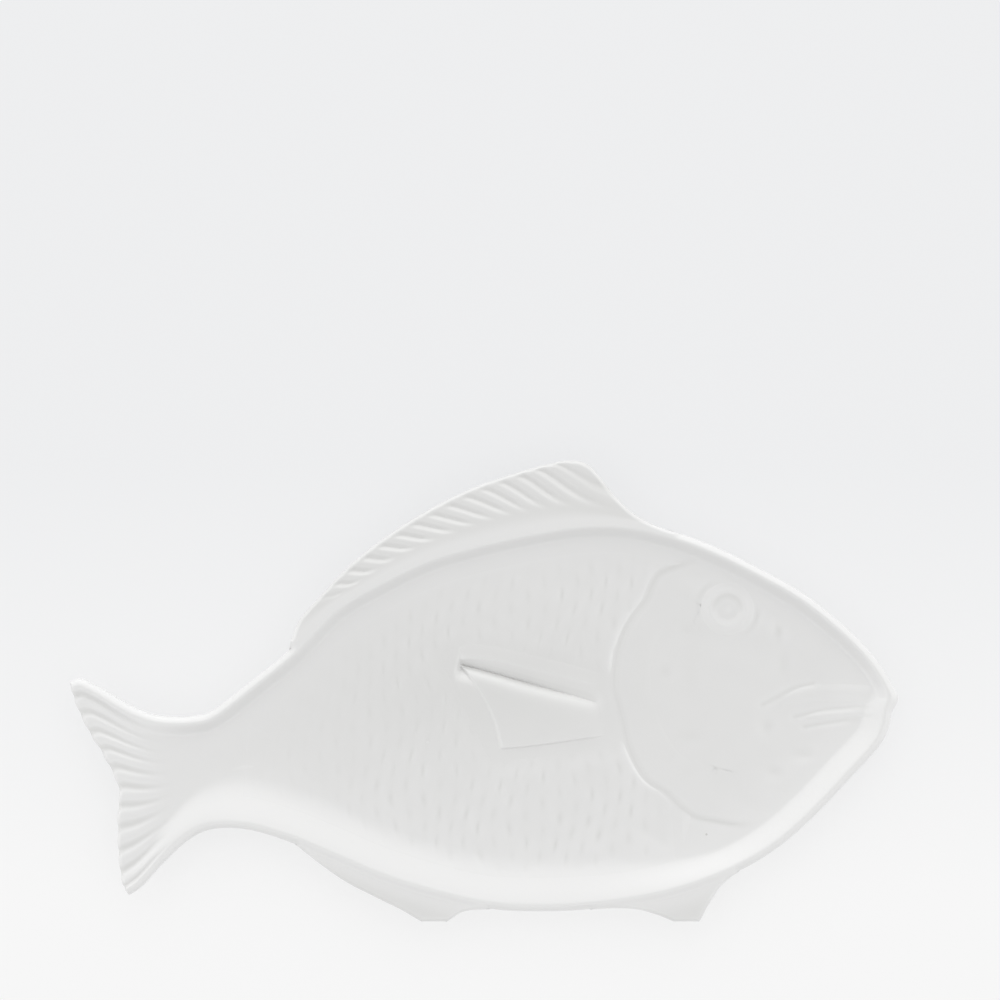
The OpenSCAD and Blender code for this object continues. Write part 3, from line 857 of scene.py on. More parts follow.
@dataclass
class Shell:
    """Floor of the well, the wall with its rounded lip, and the foot ring."""

    plan: Outline
    sight: Sight
    maker: Modeller
    wall_inset: float = 10.5
    crest: float = 2.3
    back_run: float = 5.2
    belly_run: float = 19
    chin_run: float = 9
    tail_run: float = 6
    cove_reach: float = 34
    back_cove_share: float = 0.42
    belly_cove_share: float = 0.68
    chin_cove_share: float = 0.52
    tail_cove_share: float = 0.12
    basin_depth: float = 3.2
    basin_reach: float = 4.0
    basin_start: float = 3
    basin_end: float = 16
    tail_dish: float = 1.1
    rise_from: float = -96
    rise_run: float = 46
    shoulder: float = 1.3
    shoulder_run: float = 4.2
    shoulder_ends: tuple[float, float] = (0.6, 0.8)
    shoulder_ease: float = 1.2
    # Painted shade: darker in the deep middle of the well, in a soft patch round its centre and along the
    # gill and mouth lines, with less of it on the tail.
    middle_shade_share: float = 0.26
    middle_shade_from: float = 0.72
    centre: tuple[float, float] = (6, -1)
    centre_reach: tuple[float, float] = (64, 29)
    centre_shade_share: float = 0.56
    tail_clear: float = 0.5
    line_shade_share: float = 0.8
    mouth_shade_share: float = 0.5
    dents_from: float = 1.2
    dents_ease: float = 7
    chin_from: float = 30
    chin_ease: float = 70
    foot_inset: float = 5
    foot_w: float = 6
    foot_r: float = 1.3
    foot_samples: int = 600
    foot_stations: int = 250
    foot_arc: int = 6
    foot_bar: int = 58
    foot_rounds: int = 160
    foot_join: int = 4
    foot_lap: float = 0.05
    lip_steps: int = 12
    wall_steps: int = 28
    stations: int = 840
    floor_rows: int = 200

    def __post_init__(self) -> None:
        """Works out the insets of the wall's points and the floor's edge."""
        self.sizes, self.forms = self.plan.sizes, SoftForms(self.sight)
        lip = self.crest * (1 - np.cos(np.linspace(0, np.pi / 2, self.lip_steps + 1)))
        self.insets = np.concatenate([lip, np.linspace(self.crest, self.wall_inset, self.wall_steps + 1)[1:]])
        edge = self.inset_line(0, self.plan.last, self.stations // 2, self.wall_inset)
        self.floor_edge = np.vstack([edge, edge[:1]])

    def inset_line(self, start: float, end: float, spans: int, w: float) -> Array:
        """Plan points at one inset between two places on the rim."""
        t = np.linspace(start, end, spans + 1)
        return self.plan.inset(t, np.full(len(t), w))

    def rise(self, x: Array) -> Array:
        """Share by which the well's floor has risen to the tail's face."""
        return ease((self.rise_from - x) / self.rise_run)

    def way_down(self, xy: Array, side: Array, run: Array | float, share: Array | float) -> Array:
        """Share of the depth that the skin has reached, going in from one side of the rim.

        Args:
            xy: Plan points.
            side: The rim's outer edge on that side.
            run: Length of the short step inside the lip.
            share: Part of the depth that the broad cove takes.

        Returns:
            Shares from 0 on the lip to 1 in the middle.
        """
        inward = distance(xy, side) - self.crest
        rise = self.rise(xy[..., 0])
        cove = 1 - (1 - np.clip(inward / self.cove_reach, 0, 1)) ** 2
        return mix(ease(inward / mix(run, self.tail_run, rise)), cove, mix(share, self.tail_cove_share, rise))

    def full_depth(self, xy: Array) -> Array:
        """Depth of the middle of the well, or of the tail's face, below the rim."""
        return mix(self.sizes.rim_h - self.sizes.floor_top, self.tail_dish, self.rise(xy[..., 0]))

    def hollow(self, xy: Array) -> Array:
        """Depth of the well's and the tail's skin below the rim: a short step and a broad cove.

        Args:
            xy: Plan points.

        Returns:
            Depths in millimetres.
        """
        back = self.way_down(xy, self.plan.upper_side, self.back_run, self.back_cove_share)
        chin = ease((xy[..., 0] - self.chin_from) / self.chin_ease)
        run = mix(self.belly_run, self.chin_run, chin)
        share = mix(self.belly_cove_share, self.chin_cove_share, chin)
        return self.full_depth(xy) * back * self.way_down(xy, self.plan.lower_side, run, share)

    def shoulder_fall(self, t: Array, outward: Array) -> Array:
        """How far the skin drops over the lip towards a lower fin.

        Args:
            t: Places in the rim's table.
            outward: Distances out from the rim, negative inside it.

        Returns:
            Falls in millimetres.
        """
        beside = 0
        for start, end in (self.plan.pelvic_join, self.plan.anal_join):
            lead, trail = t - start + self.shoulder_ends[0], end + self.shoulder_ends[1] - t
            beside = beside + ease(lead / self.shoulder_ease) * ease(trail / self.shoulder_ease)
        return self.shoulder * beside * ease((outward + self.plan.lip_reach) / self.shoulder_run)

    def wall(self) -> bpy.types.Object:
        """The wall, from the floor's edge over the lip to the outer edge and back underneath.

        Returns:
            The new piece.
        """
        t = np.linspace(0, self.plan.last, self.stations + 1)
        rim, way = self.plan.rim(t)[:, None], self.plan.inward(t)[:, None]
        xy = rim + way * self.insets[None, :, None]
        fall = self.hollow(xy) + self.plan.edge_fall(xy) + self.shoulder_fall(t[:, None], -self.insets[None])
        a = np.linspace(0, np.pi / 2, len(self.insets))
        under = self.wall_inset * (1 - np.cos(a))
        low = self.sizes.foot_h + (self.sizes.fin_under - self.sizes.foot_h) * (1 - np.sin(a))
        bottom = with_height(rim + way * under[None, :, None], np.broadcast_to(low, fall.shape))
        top = with_height(xy, self.sizes.rim_h - fall)
        return self.maker.slab("wall_with_lip", top, bottom, self.painted_shade(xy))

    def painted_shade(self, xy: Array) -> Array:
        """Painted shade in the deep middle of the well, round its centre and along its fine lines, as a
        share.

        Args:
            xy: Plan points.

        Returns:
            Shares from 0 to 1.
        """
        down = ease((self.hollow(xy) / self.full_depth(xy) - self.middle_shade_from) / (1 - self.middle_shade_from))
        middle = self.middle_shade_share * down * (1 - self.tail_clear * self.rise(xy[..., 0]))
        middle = middle + self.centre_shade_share * mound(xy, self.centre, *self.centre_reach)
        gill = self.forms.gill_line(xy, shift=0.1, reach=1.3)
        line = np.maximum(gill, self.mouth_shade_share * self.forms.mouth_lines(xy))
        return middle + (1 - middle) * self.line_shade_share * line

    def skin(self, xy: Array) -> tuple[Array, Array]:
        """Height of the floor's upper skin, and the part of it that its swellings and dents make.

        Args:
            xy: Plan points.

        Returns:
            Heights over the table and the part of them, in millimetres.
        """
        inside = distance(xy, self.floor_edge) - self.dents_from
        dents = self.forms.height(xy) * ease(inside / self.dents_ease)
        return self.sizes.rim_h - self.hollow(xy) + dents, dents

    def basin(self, xy: Array) -> Array:
        """Depth that the floor and the scales leave free for the furrow of the pectoral fin.

        Args:
            xy: Plan points.

        Returns:
            Depths in millimetres.
        """
        valley = evenly(self.sight.on_floor(PectoralFin.valley), 60)
        start = ease((xy - valley[0]) @ unit(valley[6] - valley[0]) / self.basin_start)
        end = ease((valley[-1] - xy) @ unit(valley[-1] - valley[-7]) / self.basin_end)
        return self.basin_depth * bump(distance(xy, valley), self.basin_reach) * start * end

    def floor(self) -> bpy.types.Object:
        """The floor of the well.

        Returns:
            The new piece.
        """
        edge = self.inset_line(0, self.plan.last, self.stations, self.wall_inset)
        half = self.stations // 2
        q = np.linspace(0, 1, self.floor_rows)[None, :, None]
        xy = mix(edge[:half + 1, None], edge[::-1][:half + 1, None], q)
        bottom = with_height(xy, self.sizes.foot_h)
        skin, dents = self.skin(xy)
        top = with_height(xy, skin - self.basin(xy))
        # Painted shade and pooled glaze in the floor's dents and over the well.
        pool_shade = self.maker.glazed(dents, self.painted_shade(xy))
        return self.maker.slab("floor_of_well", top, bottom, pool_shade, flat_bottom=True)

    def foot(self) -> bpy.types.Object:
        """The foot ring, rounded along its edges and closed by a straight bar.

        Returns:
            The new piece.
        """
        middle = self.wall_inset + self.foot_inset + self.foot_w / 2
        line = self.inset_line(self.foot_join, self.plan.last - self.foot_join, self.foot_samples, middle)
        bar = mix(line[-1], line[0], np.linspace(0, 1, self.foot_bar + 2)[1:-1, None])
        loop = np.vstack([line, bar])
        for _ in range(self.foot_rounds):
            loop = (np.roll(loop, 1, 0) + 2 * loop + np.roll(loop, -1, 0)) / 4
        loop = evenly(np.vstack([loop, loop[:1]]), self.foot_stations + 1)[:-1]
        ahead = unit(np.roll(loop, -1, 0) - np.roll(loop, 1, 0))
        side = np.stack([-ahead[:, 1], ahead[:, 0]], 1)
        r, half, top = self.foot_r, self.foot_w / 2, self.sizes.foot_h + self.foot_lap
        arc = np.linspace(0, np.pi / 2, self.foot_arc)
        xs = np.concatenate([half - r + r * np.sin(arc), [half, -half], -(half - r) - r * np.sin(arc[::-1])])
        zs = np.concatenate([r - r * np.cos(arc), [top, top], r - r * np.cos(arc[::-1])])
        xy = loop[:, None] + side[:, None] * xs[None, :, None]
        return self.maker.ring("foot_ring_bare", with_height(xy, zs[None] + 0 * xy[..., 0]))


class FinKind(Enum):
    """The three fins that stand out from the rim."""

    DORSAL = "dorsal_fin"
    ANAL = "anal_fin"
    PELVIC = "pelvic_fin"


@dataclass
class EdgeFin:
    """A fin along the rim, fan-shaped between the rim and its own outer edge."""

    plan: Outline
    shell: Shell
    maker: Modeller
    kind: FinKind
    stations: int = 330
    across: int = 34
    rays: int = 18
    slant: tuple[float, float] = (-0.25, 0.55)
    slant_from: float = 0.15
    slant_run: float = 0.5
    ray_span: tuple[float, float] = (0.1, 0.97)
    ray_fade: float = 0.12
    last_rays: float = 0.3
    groove: float = 0.7
    sharpness: float = 1.7
    scallop: float = 0.12
    scallop_from: float = 0.8
    scallop_run: float = 0.2
    dorsal_droop: float = 0.06
    lower_droop: float = 0.72
    droop_reach: float = 15
    groove_from: float = 0.32
    groove_run: float = 0.22
    groove_end: float = 1.2
    groove_ease: float = 2.6
    outer_tint: float = 0.75
    outer_tint_reach: float = 9
    groove_shade: float = 0.25
    under_edge: float = 0.55
    edge_share: float = 0.45
    least_thick: float = 1.0

    def settings(self) -> tuple[tuple[int, int], list, list]:
        """Places on the rim's table, outer edge and front edge.

        Returns:
            The two places, and the tables of the outer edge and of the front edge if it has one.
        """
        plan = self.plan
        return {
            FinKind.DORSAL: (plan.dorsal_join, plan.dorsal_edge, plan.dorsal_front),
            FinKind.ANAL: (plan.anal_join, plan.anal_edge, []),
            FinKind.PELVIC: (plan.pelvic_join, plan.pelvic_edge, []),
        }[self.kind]

    def points(self, s: Array, q: Array) -> Array:
        """Plan points of the fin at shares along it and out from the rim.

        Args:
            s: Shares along the fin.
            q: Shares from the rim to the outer edge.

        Returns:
            Plan points.
        """
        join, edge, front = self.settings()
        inner = self.plan.rim(mix(*join, s))
        outer = self.plan.along(edge, s * (len(edge) - 1))
        p = mix(inner, outer, q[..., None])
        if front:
            first, last = self.plan.rim(join[1]), self.plan.along(edge, np.array(len(edge) - 1.0))
            chord = mix(first, last, q[..., None])
            bend = ease((s - 0.5) * 2)[..., None]
            p = p + bend * (self.plan.along(front, q * (len(front) - 1)) - chord)
        return p

    def ray_depth(self, s: Array, gap: Array) -> Array:
        """Depth of the slanting hollows between the rays, a gap in from the outer edge, as a share.

        Args:
            s: Shares along the fin.
            gap: Distances in from the outer edge.

        Returns:
            Shares from 0 on a ray to 1 in the deepest hollow.
        """
        if self.kind is not FinKind.DORSAL:
            return 0 * s
        edge = whole_curve(self.plan.place(np.array(self.plan.dorsal_edge)), CURVE_STEPS)
        run = np.concatenate([[0], np.cumsum(np.linalg.norm(np.diff(edge, axis=0), axis=1))])
        slant = mix(*self.slant, ease((s - self.slant_from) / self.slant_run))
        at = np.interp(s, np.linspace(0, 1, len(run)), run / run[-1]) - slant * gap / run[-1]
        wave = (0.5 - 0.5 * np.cos(2 * np.pi * self.rays * at)) ** self.sharpness
        first, last = self.ray_span
        front = mix(self.last_rays, 1, ease((last - at) / self.ray_fade))
        return wave * ease((at - first) / self.ray_fade) * front

    def build(self) -> bpy.types.Object:
        """The fin with its rays and rounded edges.

        Returns:
            The new piece.
        """
        ends = np.array([0, 0.0003, 0.0012, 0.0028, 0.005, 0.008])
        s = np.concatenate([ends, np.linspace(0.011, 0.989, self.stations), 1 - ends[::-1]])[:, None]
        width = np.linalg.norm(self.points(s, 1 + 0 * s) - self.points(s, 0 * s), axis=-1)
        arc = self.plan.edge_steps()
        fine = np.minimum(1, self.edge_share * width / self.plan.fin_reach) * arc[None]
        last = fine[:, :1] / width
        q = np.concatenate([np.linspace(0, 1, self.across)[None] * (1 - last), (1 - fine / width)[:, 1:]], 1)
        s = s + 0 * q
        xy = self.points(s, q)
        fall = self.plan.edge_fall(xy)
        out = width * q
        inside = ease((q - self.groove_from) / self.groove_run)
        inside = inside * ease((width - out - self.groove_end) / self.groove_ease)
        deep = self.ray_depth(s, width - out) * inside
        way = unit(self.points(s, 1 + 0 * s) - self.points(s, 0 * s))
        near_edge = ease((q - self.scallop_from) / self.scallop_run)
        notch = self.scallop * self.ray_depth(s, 0 * q) * near_edge
        z = self.shell.sizes.rim_h - fall - self.groove * deep
        z -= self.shell.shoulder_fall(mix(*self.settings()[0], s), out)
        lower = self.shell.sizes.fin_under + self.under_edge * fall
        droop = self.dorsal_droop if self.kind is FinKind.DORSAL else self.lower_droop
        z -= droop * ease(out / self.droop_reach)
        lower = np.minimum(lower, z - self.least_thick)
        # Painted shade in the grooves between the rays, and a tone that darkens towards the outer edge.
        shade_tint = self.outer_tint * ease(out / self.outer_tint_reach) + self.groove_shade * deep
        moved = xy - way * notch[..., None]
        top, bottom = with_height(moved, z), with_height(moved, lower)
        return self.maker.slab(self.kind.value + "_glazed", top, bottom, self.maker.glazed(z, shade_tint))


@dataclass
class TailFin:
    """The tail, from the cut behind the well to its scalloped end."""

    plan: Outline
    shell: Shell
    maker: Modeller
    rows: int = 96
    face_cols: int = 150
    rays: int = 11
    groove: float = 0.58
    groove_from: float = 0.34
    groove_run: float = 0.46
    groove_inset: float = 4.6
    groove_shade: float = 0.7
    sharpness: float = 1.5
    scallop: float = 0.4
    scallop_run: float = 0.14
    lean: float = 3.0
    leaning: float = 6.7
    rise_share: float = 0.8
    under_edge: float = 0.5
    least_thick: float = 0.8

    def points(self, u: Array, v: Array) -> Array:
        """Plan points at shares from the cut to the end and from the upper to the lower edge.

        Args:
            u: Shares from the cut to the end.
            v: Shares from the upper to the lower edge.

        Returns:
            Plan points.
        """
        plan = self.plan
        top = plan.rim(-u * plan.before)
        low = plan.rim(plan.last + u * plan.after)
        end = plan.along(plan.tail_end, v * (len(plan.tail_end) - 1))
        corner = plan.place(np.array([plan.tail_top[-1], plan.tail_low[-1]]))
        v, u = v[..., None], u[..., None]
        return mix(top, low, v) + u * (end - mix(corner[0], corner[1], v))

    def build(self) -> bpy.types.Object:
        """The tail with its edge lips and rays.

        Returns:
            The new piece.
        """
        shell, sizes = self.shell, self.shell.sizes
        end, start = (self.points(np.array(k), np.array(0.5)) for k in (1.0, 0.0))
        length = np.linalg.norm(end - start)
        arc = self.plan.edge_steps()
        u = np.concatenate([np.linspace(0, 1 - arc[0] / length, self.rows), 1 - arc[1:] / length])
        width = np.linalg.norm(self.points(u, 1 + 0 * u) - self.points(u, 0 * u), axis=-1)
        slants = [np.linalg.norm(self.plan.inward(np.array(t))) for t in (0.0, float(self.plan.last))]
        upper, lower = ((mix(k, 1, u) / width)[:, None] for k in slants)
        u = u[:, None]
        face = np.linspace(0, 1, self.face_cols + 1)[1:-1]
        first, last = shell.wall_inset * upper, 1 - shell.wall_inset * lower
        v = np.concatenate([shell.insets * upper, mix(first, last, face), 1 - shell.insets[::-1] * lower], 1)
        xy = self.points(u + 0 * v, v)
        from_v, to_v = self.groove_inset * upper, 1 - self.groove_inset * lower
        wave = 0.5 - 0.5 * np.cos(2 * np.pi * self.rays * np.clip((v - from_v) / (to_v - from_v), 0, 1))
        deep = ease((u - self.groove_from) / self.groove_run) * wave ** self.sharpness
        fall = self.plan.edge_fall(xy)
        z = sizes.rim_h - shell.hollow(xy) - fall - self.groove * deep
        back = unit(self.points(0 * u + 0 * v, v) - xy + 1e-6)
        near_end = ease((u - 1 + self.scallop_run) / self.scallop_run)
        moved = xy + back * (self.scallop * deep * near_end)[..., None]
        rise = ease(u / self.rise_share)
        under_low = mix(sizes.foot_h, sizes.fin_under - shell.tail_dish, rise)
        reach = shell.wall_inset - self.leaning + mix(self.leaning, self.lean, rise)
        c = np.clip(1 - np.minimum(v / upper, (1 - v) / lower) / reach, 0, 1)
        under = under_low + (sizes.fin_under - under_low) * (1 - np.sqrt(1 - c ** 2))
        under = under + self.under_edge * fall * rise
        bottom = with_height(moved, np.minimum(under, z - self.least_thick))
        # Painted shade in the grooves between the rays, over the well's painted shade.
        pool_shade = self.maker.glazed(-self.groove * deep, np.maximum(shell.painted_shade(xy), self.groove_shade * deep))
        return self.maker.slab("tail_fin_glazed", with_height(moved, z), bottom, pool_shade)


@dataclass
class Relief:
    """Base of the raised forms that lie on the floor of the well."""

    shell: Shell
    maker: Modeller
    sunk: float = 0.12
    root: float = 3.4

    def on_floor(self, table: list) -> Array:
        """A table of the rim's plane as places on the floor."""
        return self.shell.sight.on_floor(table)

    def sheet(self, name: str, xy: Array, height: Array, shade_tint: Array | float = 0) -> bpy.types.Object:
        """Piece with a modelled upper skin and a flat root inside the floor.

        Args:
            name: Name of the new piece.
            xy: Grid of plan points.
            height: Heights above the floor's own skin.
            shade_tint: Painted shade on it besides that of the floor and its hollows, as a share.

        Returns:
            The new piece.
        """
        skin, dents = self.shell.skin(xy)
        bottom = with_height(xy, self.shell.sizes.floor_top - self.root)
        painted_shade = np.maximum(self.shell.painted_shade(xy), shade_tint)
        pool_shade = self.maker.glazed(dents + height, painted_shade)
        return self.maker.slab(name, with_height(xy, skin + height), bottom, pool_shade, flat_bottom=True)


@dataclass
class Eye(Relief):
    """Round eye: a low ring round a soft hollow."""

    centre: ClassVar[tuple[float, float]] = (96.8, 32.8)
    radius: float = 11.4
    cells: int = 84
    ring: float = 0.54
    ring_edge: float = 11.0
    hollow: float = 0.6
    hollow_edge: float = 7.6
    slope_run: float = 4.4
    bead: float = 0.16
    bead_reach: float = 1.8
    shade: float = 0.9
    shade_at: float = 5.4
    shade_reach: float = 1.3
    shade_base: float = 0.55
    shade_swing: float = 0.6
    edge_run: float = 1.2
    lift: float = 0.03

    def build(self) -> bpy.types.Object:
        """The eye on a square grid that is drawn into a disc.

        Returns:
            The new piece.
        """
        a, b = np.meshgrid(np.linspace(-1, 1, self.cells), np.linspace(-1, 1, self.cells), indexing="ij")
        disc = np.stack([a * np.sqrt(1 - b ** 2 / 2), b * np.sqrt(1 - a ** 2 / 2)], -1) * self.radius
        r = np.linalg.norm(disc, axis=-1)
        ring = self.ring * ease((self.ring_edge - r) / self.slope_run)
        hollow = self.hollow * ease((self.hollow_edge - r) / self.slope_run)
        bead = self.bead * bump(r, self.bead_reach)
        edge = ease((self.radius - r) / self.edge_run)
        xy = disc + self.on_floor([self.centre])[0]
        height = mix(-self.sunk, ring - hollow + bead + self.lift, edge)
        # Painted shade: a darker ring round the hollow, strongest on its upper side.
        above = ease(self.shade_base + self.shade_swing * disc[..., 1] / np.maximum(r, 1))
        shade_tint = self.shade * bump(r - self.shade_at, self.shade_reach) * above
        return self.sheet("eye_glazed", xy, height, shade_tint)


@dataclass
class GillCover(Relief):
    """Gill cover: a fine step up from the body that fades over the cheek, with the inner cheek line."""

    line: ClassVar[list] = [
        (88.5, 52.5), (80.7, 50.9), (71.2, 47.7), (67.6, 43.5), (64.8, 36.6), (60, 30.2), (56.1, 23.7),
        (53.7, 16.5), (52.4, 9.5), (52.1, 0.6), (53.7, -5.4), (55.6, -13), (57.6, -21.3), (61.6, -30.2),
        (66, -35.9), (72.8, -40.2), (78.4, -45.9), (84.2, -49.9), (91.8, -51.6), (101.8, -53), (110.4, -51.8)]
    cheek: list = field(default_factory=lambda: [
        (77.3, 25.5), (72.2, 20), (69.4, 12), (69.2, 4), (71, -4), (74, -13), (79, -21), (86, -29)])
    step: float = 0.24
    step_from: float = -1.0
    step_run: float = 1.9
    reach: float = 27
    fade_short: float = 7
    fade_from: float = 1.2
    fade_share: float = 0.86
    bead_share: float = 0.14
    bead_at: float = 1.3
    bead_reach: float = 1.5
    first_run: float = 0.2
    last_run: float = 0.22
    tip_level: float = 0.3
    crease: float = 0.55
    crease_at: float = 0.53
    crease_reach: float = 0.07
    cheek_depth: float = 0.22
    cheek_reach: float = 2.3
    cheek_tips: float = 12

    def build(self) -> bpy.types.Object:
        """The cover as a band along the gill line.

        Returns:
            The new piece.
        """
        line = evenly(self.on_floor(self.line), 240)
        side = side_way(line)
        e = np.concatenate([np.linspace(-1.5, 1.5, 22), np.linspace(2.0, self.reach, 60)])
        s = np.linspace(0, 1, len(line))
        xy = line[:, None] + side[:, None] * e[None, :, None]
        rise = ease((e - self.step_from) / self.step_run)
        fade = self.fade_share * (1 - ease((e - self.fade_from) / (self.reach - self.fade_short)))
        fade = fade + self.bead_share * bump(e - self.bead_at, self.bead_reach)
        along = ease(s / self.first_run) * ease((1 - s) / self.last_run)
        along = along * (1 - self.crease * bump(s - self.crease_at, self.crease_reach))
        height = self.step * (rise * fade)[None] * mix(self.tip_level, 1, along)[:, None]
        cheek = evenly(self.on_floor(self.cheek), 60)
        tips = ease(np.minimum(*(np.linalg.norm(xy - cheek[k], axis=-1) for k in (0, -1))) / self.cheek_tips)
        height = height - self.cheek_depth * bump(distance(xy, cheek), self.cheek_reach) * tips
        ends = ease(np.minimum(s, 1 - s) / 0.1)[:, None]
        edge = ends * (ease((e - e[0]) / 0.9) * ease((e[-1] - e) / 6))[None]
        return self.sheet("gill_cover_glazed", xy, mix(-self.sunk, height, edge))


@dataclass
class Mouth(Relief):
    """The two folds of the mouth, with the slit between them that runs out to the snout."""

    lines: ClassVar[list] = [
        [(110.7, -5.4), (116.5, -2.4), (123, 1.2), (130.6, 3.0)],
        [(123.7, -10.3), (132, -8.2), (142, -6.9), (152, -6.2)],
        [(127.6, -14.2), (138, -12.4), (148.5, -10.9)]]
    upper: list = field(default_factory=lambda: [
        (108.5, -9.5), (112.8, -7.8), (118, -5), (123.6, -2.2), (131.6, -0.4), (142, -0.2), (151, -0.6),
        (157.5, -1.2)])
    lower: list = field(default_factory=lambda: [
        (120.5, -13.6), (125, -11.3), (131.6, -9.9), (141, -8.9), (150.3, -8.3), (156.2, -8.2)])
    height: float = 0.36
    lower_share: float = 0.6
    samples: int = 150

    def fold(self, name: str, table: list, above: float, below: float, height: float) -> bpy.types.Object:
        """One soft fold, thinner towards its ends.

        Args:
            name: Name of the new piece.
            table: Middle line of the fold in the rim's plane.
            above: Its width above the middle line.
            below: Its width below the middle line.
            height: Its greatest height above the floor.

        Returns:
            The new piece.
        """
        line = evenly(self.on_floor(table), self.samples)
        side = side_way(line)
        e = np.linspace(-1, 1, 37)
        s = np.linspace(0, 1, len(line))
        swell = mix(0.3, 1, ease(s / 0.5))
        across = np.where(e > 0, e * above, e * below)
        xy = line[:, None] + side[:, None] * (across[None] * swell[:, None])[..., None]
        profile = np.cos(e * np.pi / 2) ** 1.5
        ends = ease(s / 0.4) * ease((1 - s) / 0.12)
        tall = (height + self.sunk) * profile[None] * (swell * ends)[:, None]
        return self.sheet(name, xy, tall - self.sunk)

    def build(self) -> bpy.types.Object:
        """Both folds as one piece.

        Returns:
            The new piece.
        """
        upper = self.fold("lips_glazed", self.upper, above=4.4, below=5.2, height=self.height)
        lower_height = self.height * self.lower_share
        lower = self.fold("lower_fold", self.lower, above=3.4, below=2.6, height=lower_height)
        bpy.ops.object.select_all(action="DESELECT")
        lower.select_set(True)
        upper.select_set(True)
        bpy.context.view_layer.objects.active = upper
        bpy.ops.object.join()
        return upper


@dataclass
class PectoralFin(Relief):
    """Pectoral fin: tucked into a sharp furrow along its upper edge and raised along its lower one."""

    crest: ClassVar[list] = [
        (-11.2, 12.0), (-5.6, 12.9), (3.4, 12.4), (18.3, 9.0), (36.2, 4.6), (50.5, 1.0)]
    valley: ClassVar[list] = [
        (-11.0, 11.0), (-1.6, 8.6), (8.3, 5.8), (18.3, 3.0), (28.2, 0.2), (38.2, -2.6), (49.5, -6.2)]
    lower: ClassVar[list] = [(5.6, -22.4), (14, -21.7), (23.3, -20.6), (38.2, -18.5), (51.6, -16.7)]
    columns: int = 220
    spans: tuple[int, ...] = (12, 26, 54, 8)
    fade: float = 8.0
    crest_height: float = 0.2
    slope: float = 1.5
    furrow: float = 1.4
    face_height: float = 0.12
    raised_height: float = 0.46
    bow: float = 3.0
    edge_w: float = 1.1
    start_run: float = 0.05
    furrow_reach: float = 1.3
    face_reach: float = 2.4
    shade: float = 0.95

    def build(self) -> bpy.types.Object:
        """The fin as rows of lines from the body above it to its lower edge.

        Returns:
            The new piece.
        """
        tables = self.crest, self.valley, self.lower
        crest, valley, lower = (evenly(self.on_floor(table), self.columns) for table in tables)
        above = crest + side_way(crest) * self.fade
        outside = lower - side_way(lower) * self.edge_w
        s = np.linspace(0, 1, self.columns)[:, None]
        q = [np.linspace(0, 1, n, endpoint=False)[None] for n in self.spans]
        q[1], q[2] = 1 - (1 - q[1]) ** 1.5, q[2] ** 1.5
        opened = ease(s / self.start_run)
        slope = self.slope * opened * (1 - ease((s - 0.84) / 0.16))
        deep = self.furrow * opened * (1 - ease((s - 0.4) / 0.52))
        top = self.crest_height * opened * (1 - ease((s - 0.7) / 0.3))
        raised = self.raised_height * (1 - ease((s - 0.72) / 0.28))
        to_valley = np.linalg.norm(valley - crest, axis=1)[:, None] * (1 - q[1])
        face = np.exp(-np.linalg.norm(lower - valley, axis=1)[:, None] * q[2] / self.face_reach)
        bow = (1 - ease(s / 0.5)) * np.sin(np.pi * q[2])
        lines = above, crest, valley, lower, outside
        above, crest, valley, lower, outside = (line[:, None] for line in lines)
        parts = [(mix(above, crest, q[0][..., None]), top * ease(q[0])),
                 (mix(crest, valley, q[1][..., None]),
                  top * (1 - q[1]) - slope * q[1] - deep * np.exp(-to_valley / self.furrow_reach)),
                 (mix(valley, lower, q[2][..., None]) + (self.bow * bow)[..., None] * [1, 0],
                  mix(mix(self.face_height, raised, q[2]), -slope - deep, face)),
                 (mix(lower, outside, q[3][..., None]), mix(raised, -self.sunk, ease(q[3]))),
                 (outside, -self.sunk + 0 * s)]
        xy = np.concatenate([part[0] for part in parts], 1)
        height = np.concatenate([part[1] + 0 * s for part in parts], 1)
        shown = opened * ease((1 - s) / 0.14) * ease(np.arange(height.shape[1]) / 5)[None]
        height = mix(-self.sunk - self.shell.basin(xy), height, shown)
        # Painted shade, darker the deeper the furrow sinks.
        return self.sheet("pectoral_fin_glazed", xy, height, self.shade * ease((-height - 0.1) / 0.9))


@dataclass
class LateralLine(Relief):
    """Faint raised line along the flank, fading in and out."""

    line: list = field(default_factory=lambda: [
        (-101.4, -31.2), (-80, -28.2), (-59.6, -24.5), (-49.3, -18.9), (-38, -18.6), (-26.6, -18.9),
        (-19.9, -20.5), (-6.4, -16.9)])
    width: float = 2.6
    height: float = 0.22
    lowest: float = 0.06

    def build(self) -> bpy.types.Object:
        """The line as a thin ridge.

        Returns:
            The new piece.
        """
        line = evenly(self.on_floor(self.line), 260)
        side = side_way(line)
        e = np.linspace(-1, 1, 13)
        s = np.linspace(0, 1, len(line))
        xy = line[:, None] + side[:, None] * (e * self.width)[None, :, None]
        tall = mix(self.lowest, self.height, ease((s - 0.05) / 0.4)) * ease(s / 0.1) * ease((1 - s) / 0.1)
        height = (tall + self.sunk)[:, None] * (np.cos(e * np.pi / 2) ** 1.5)[None]
        return self.sheet("lateral_line_glazed", xy, height - self.sunk)


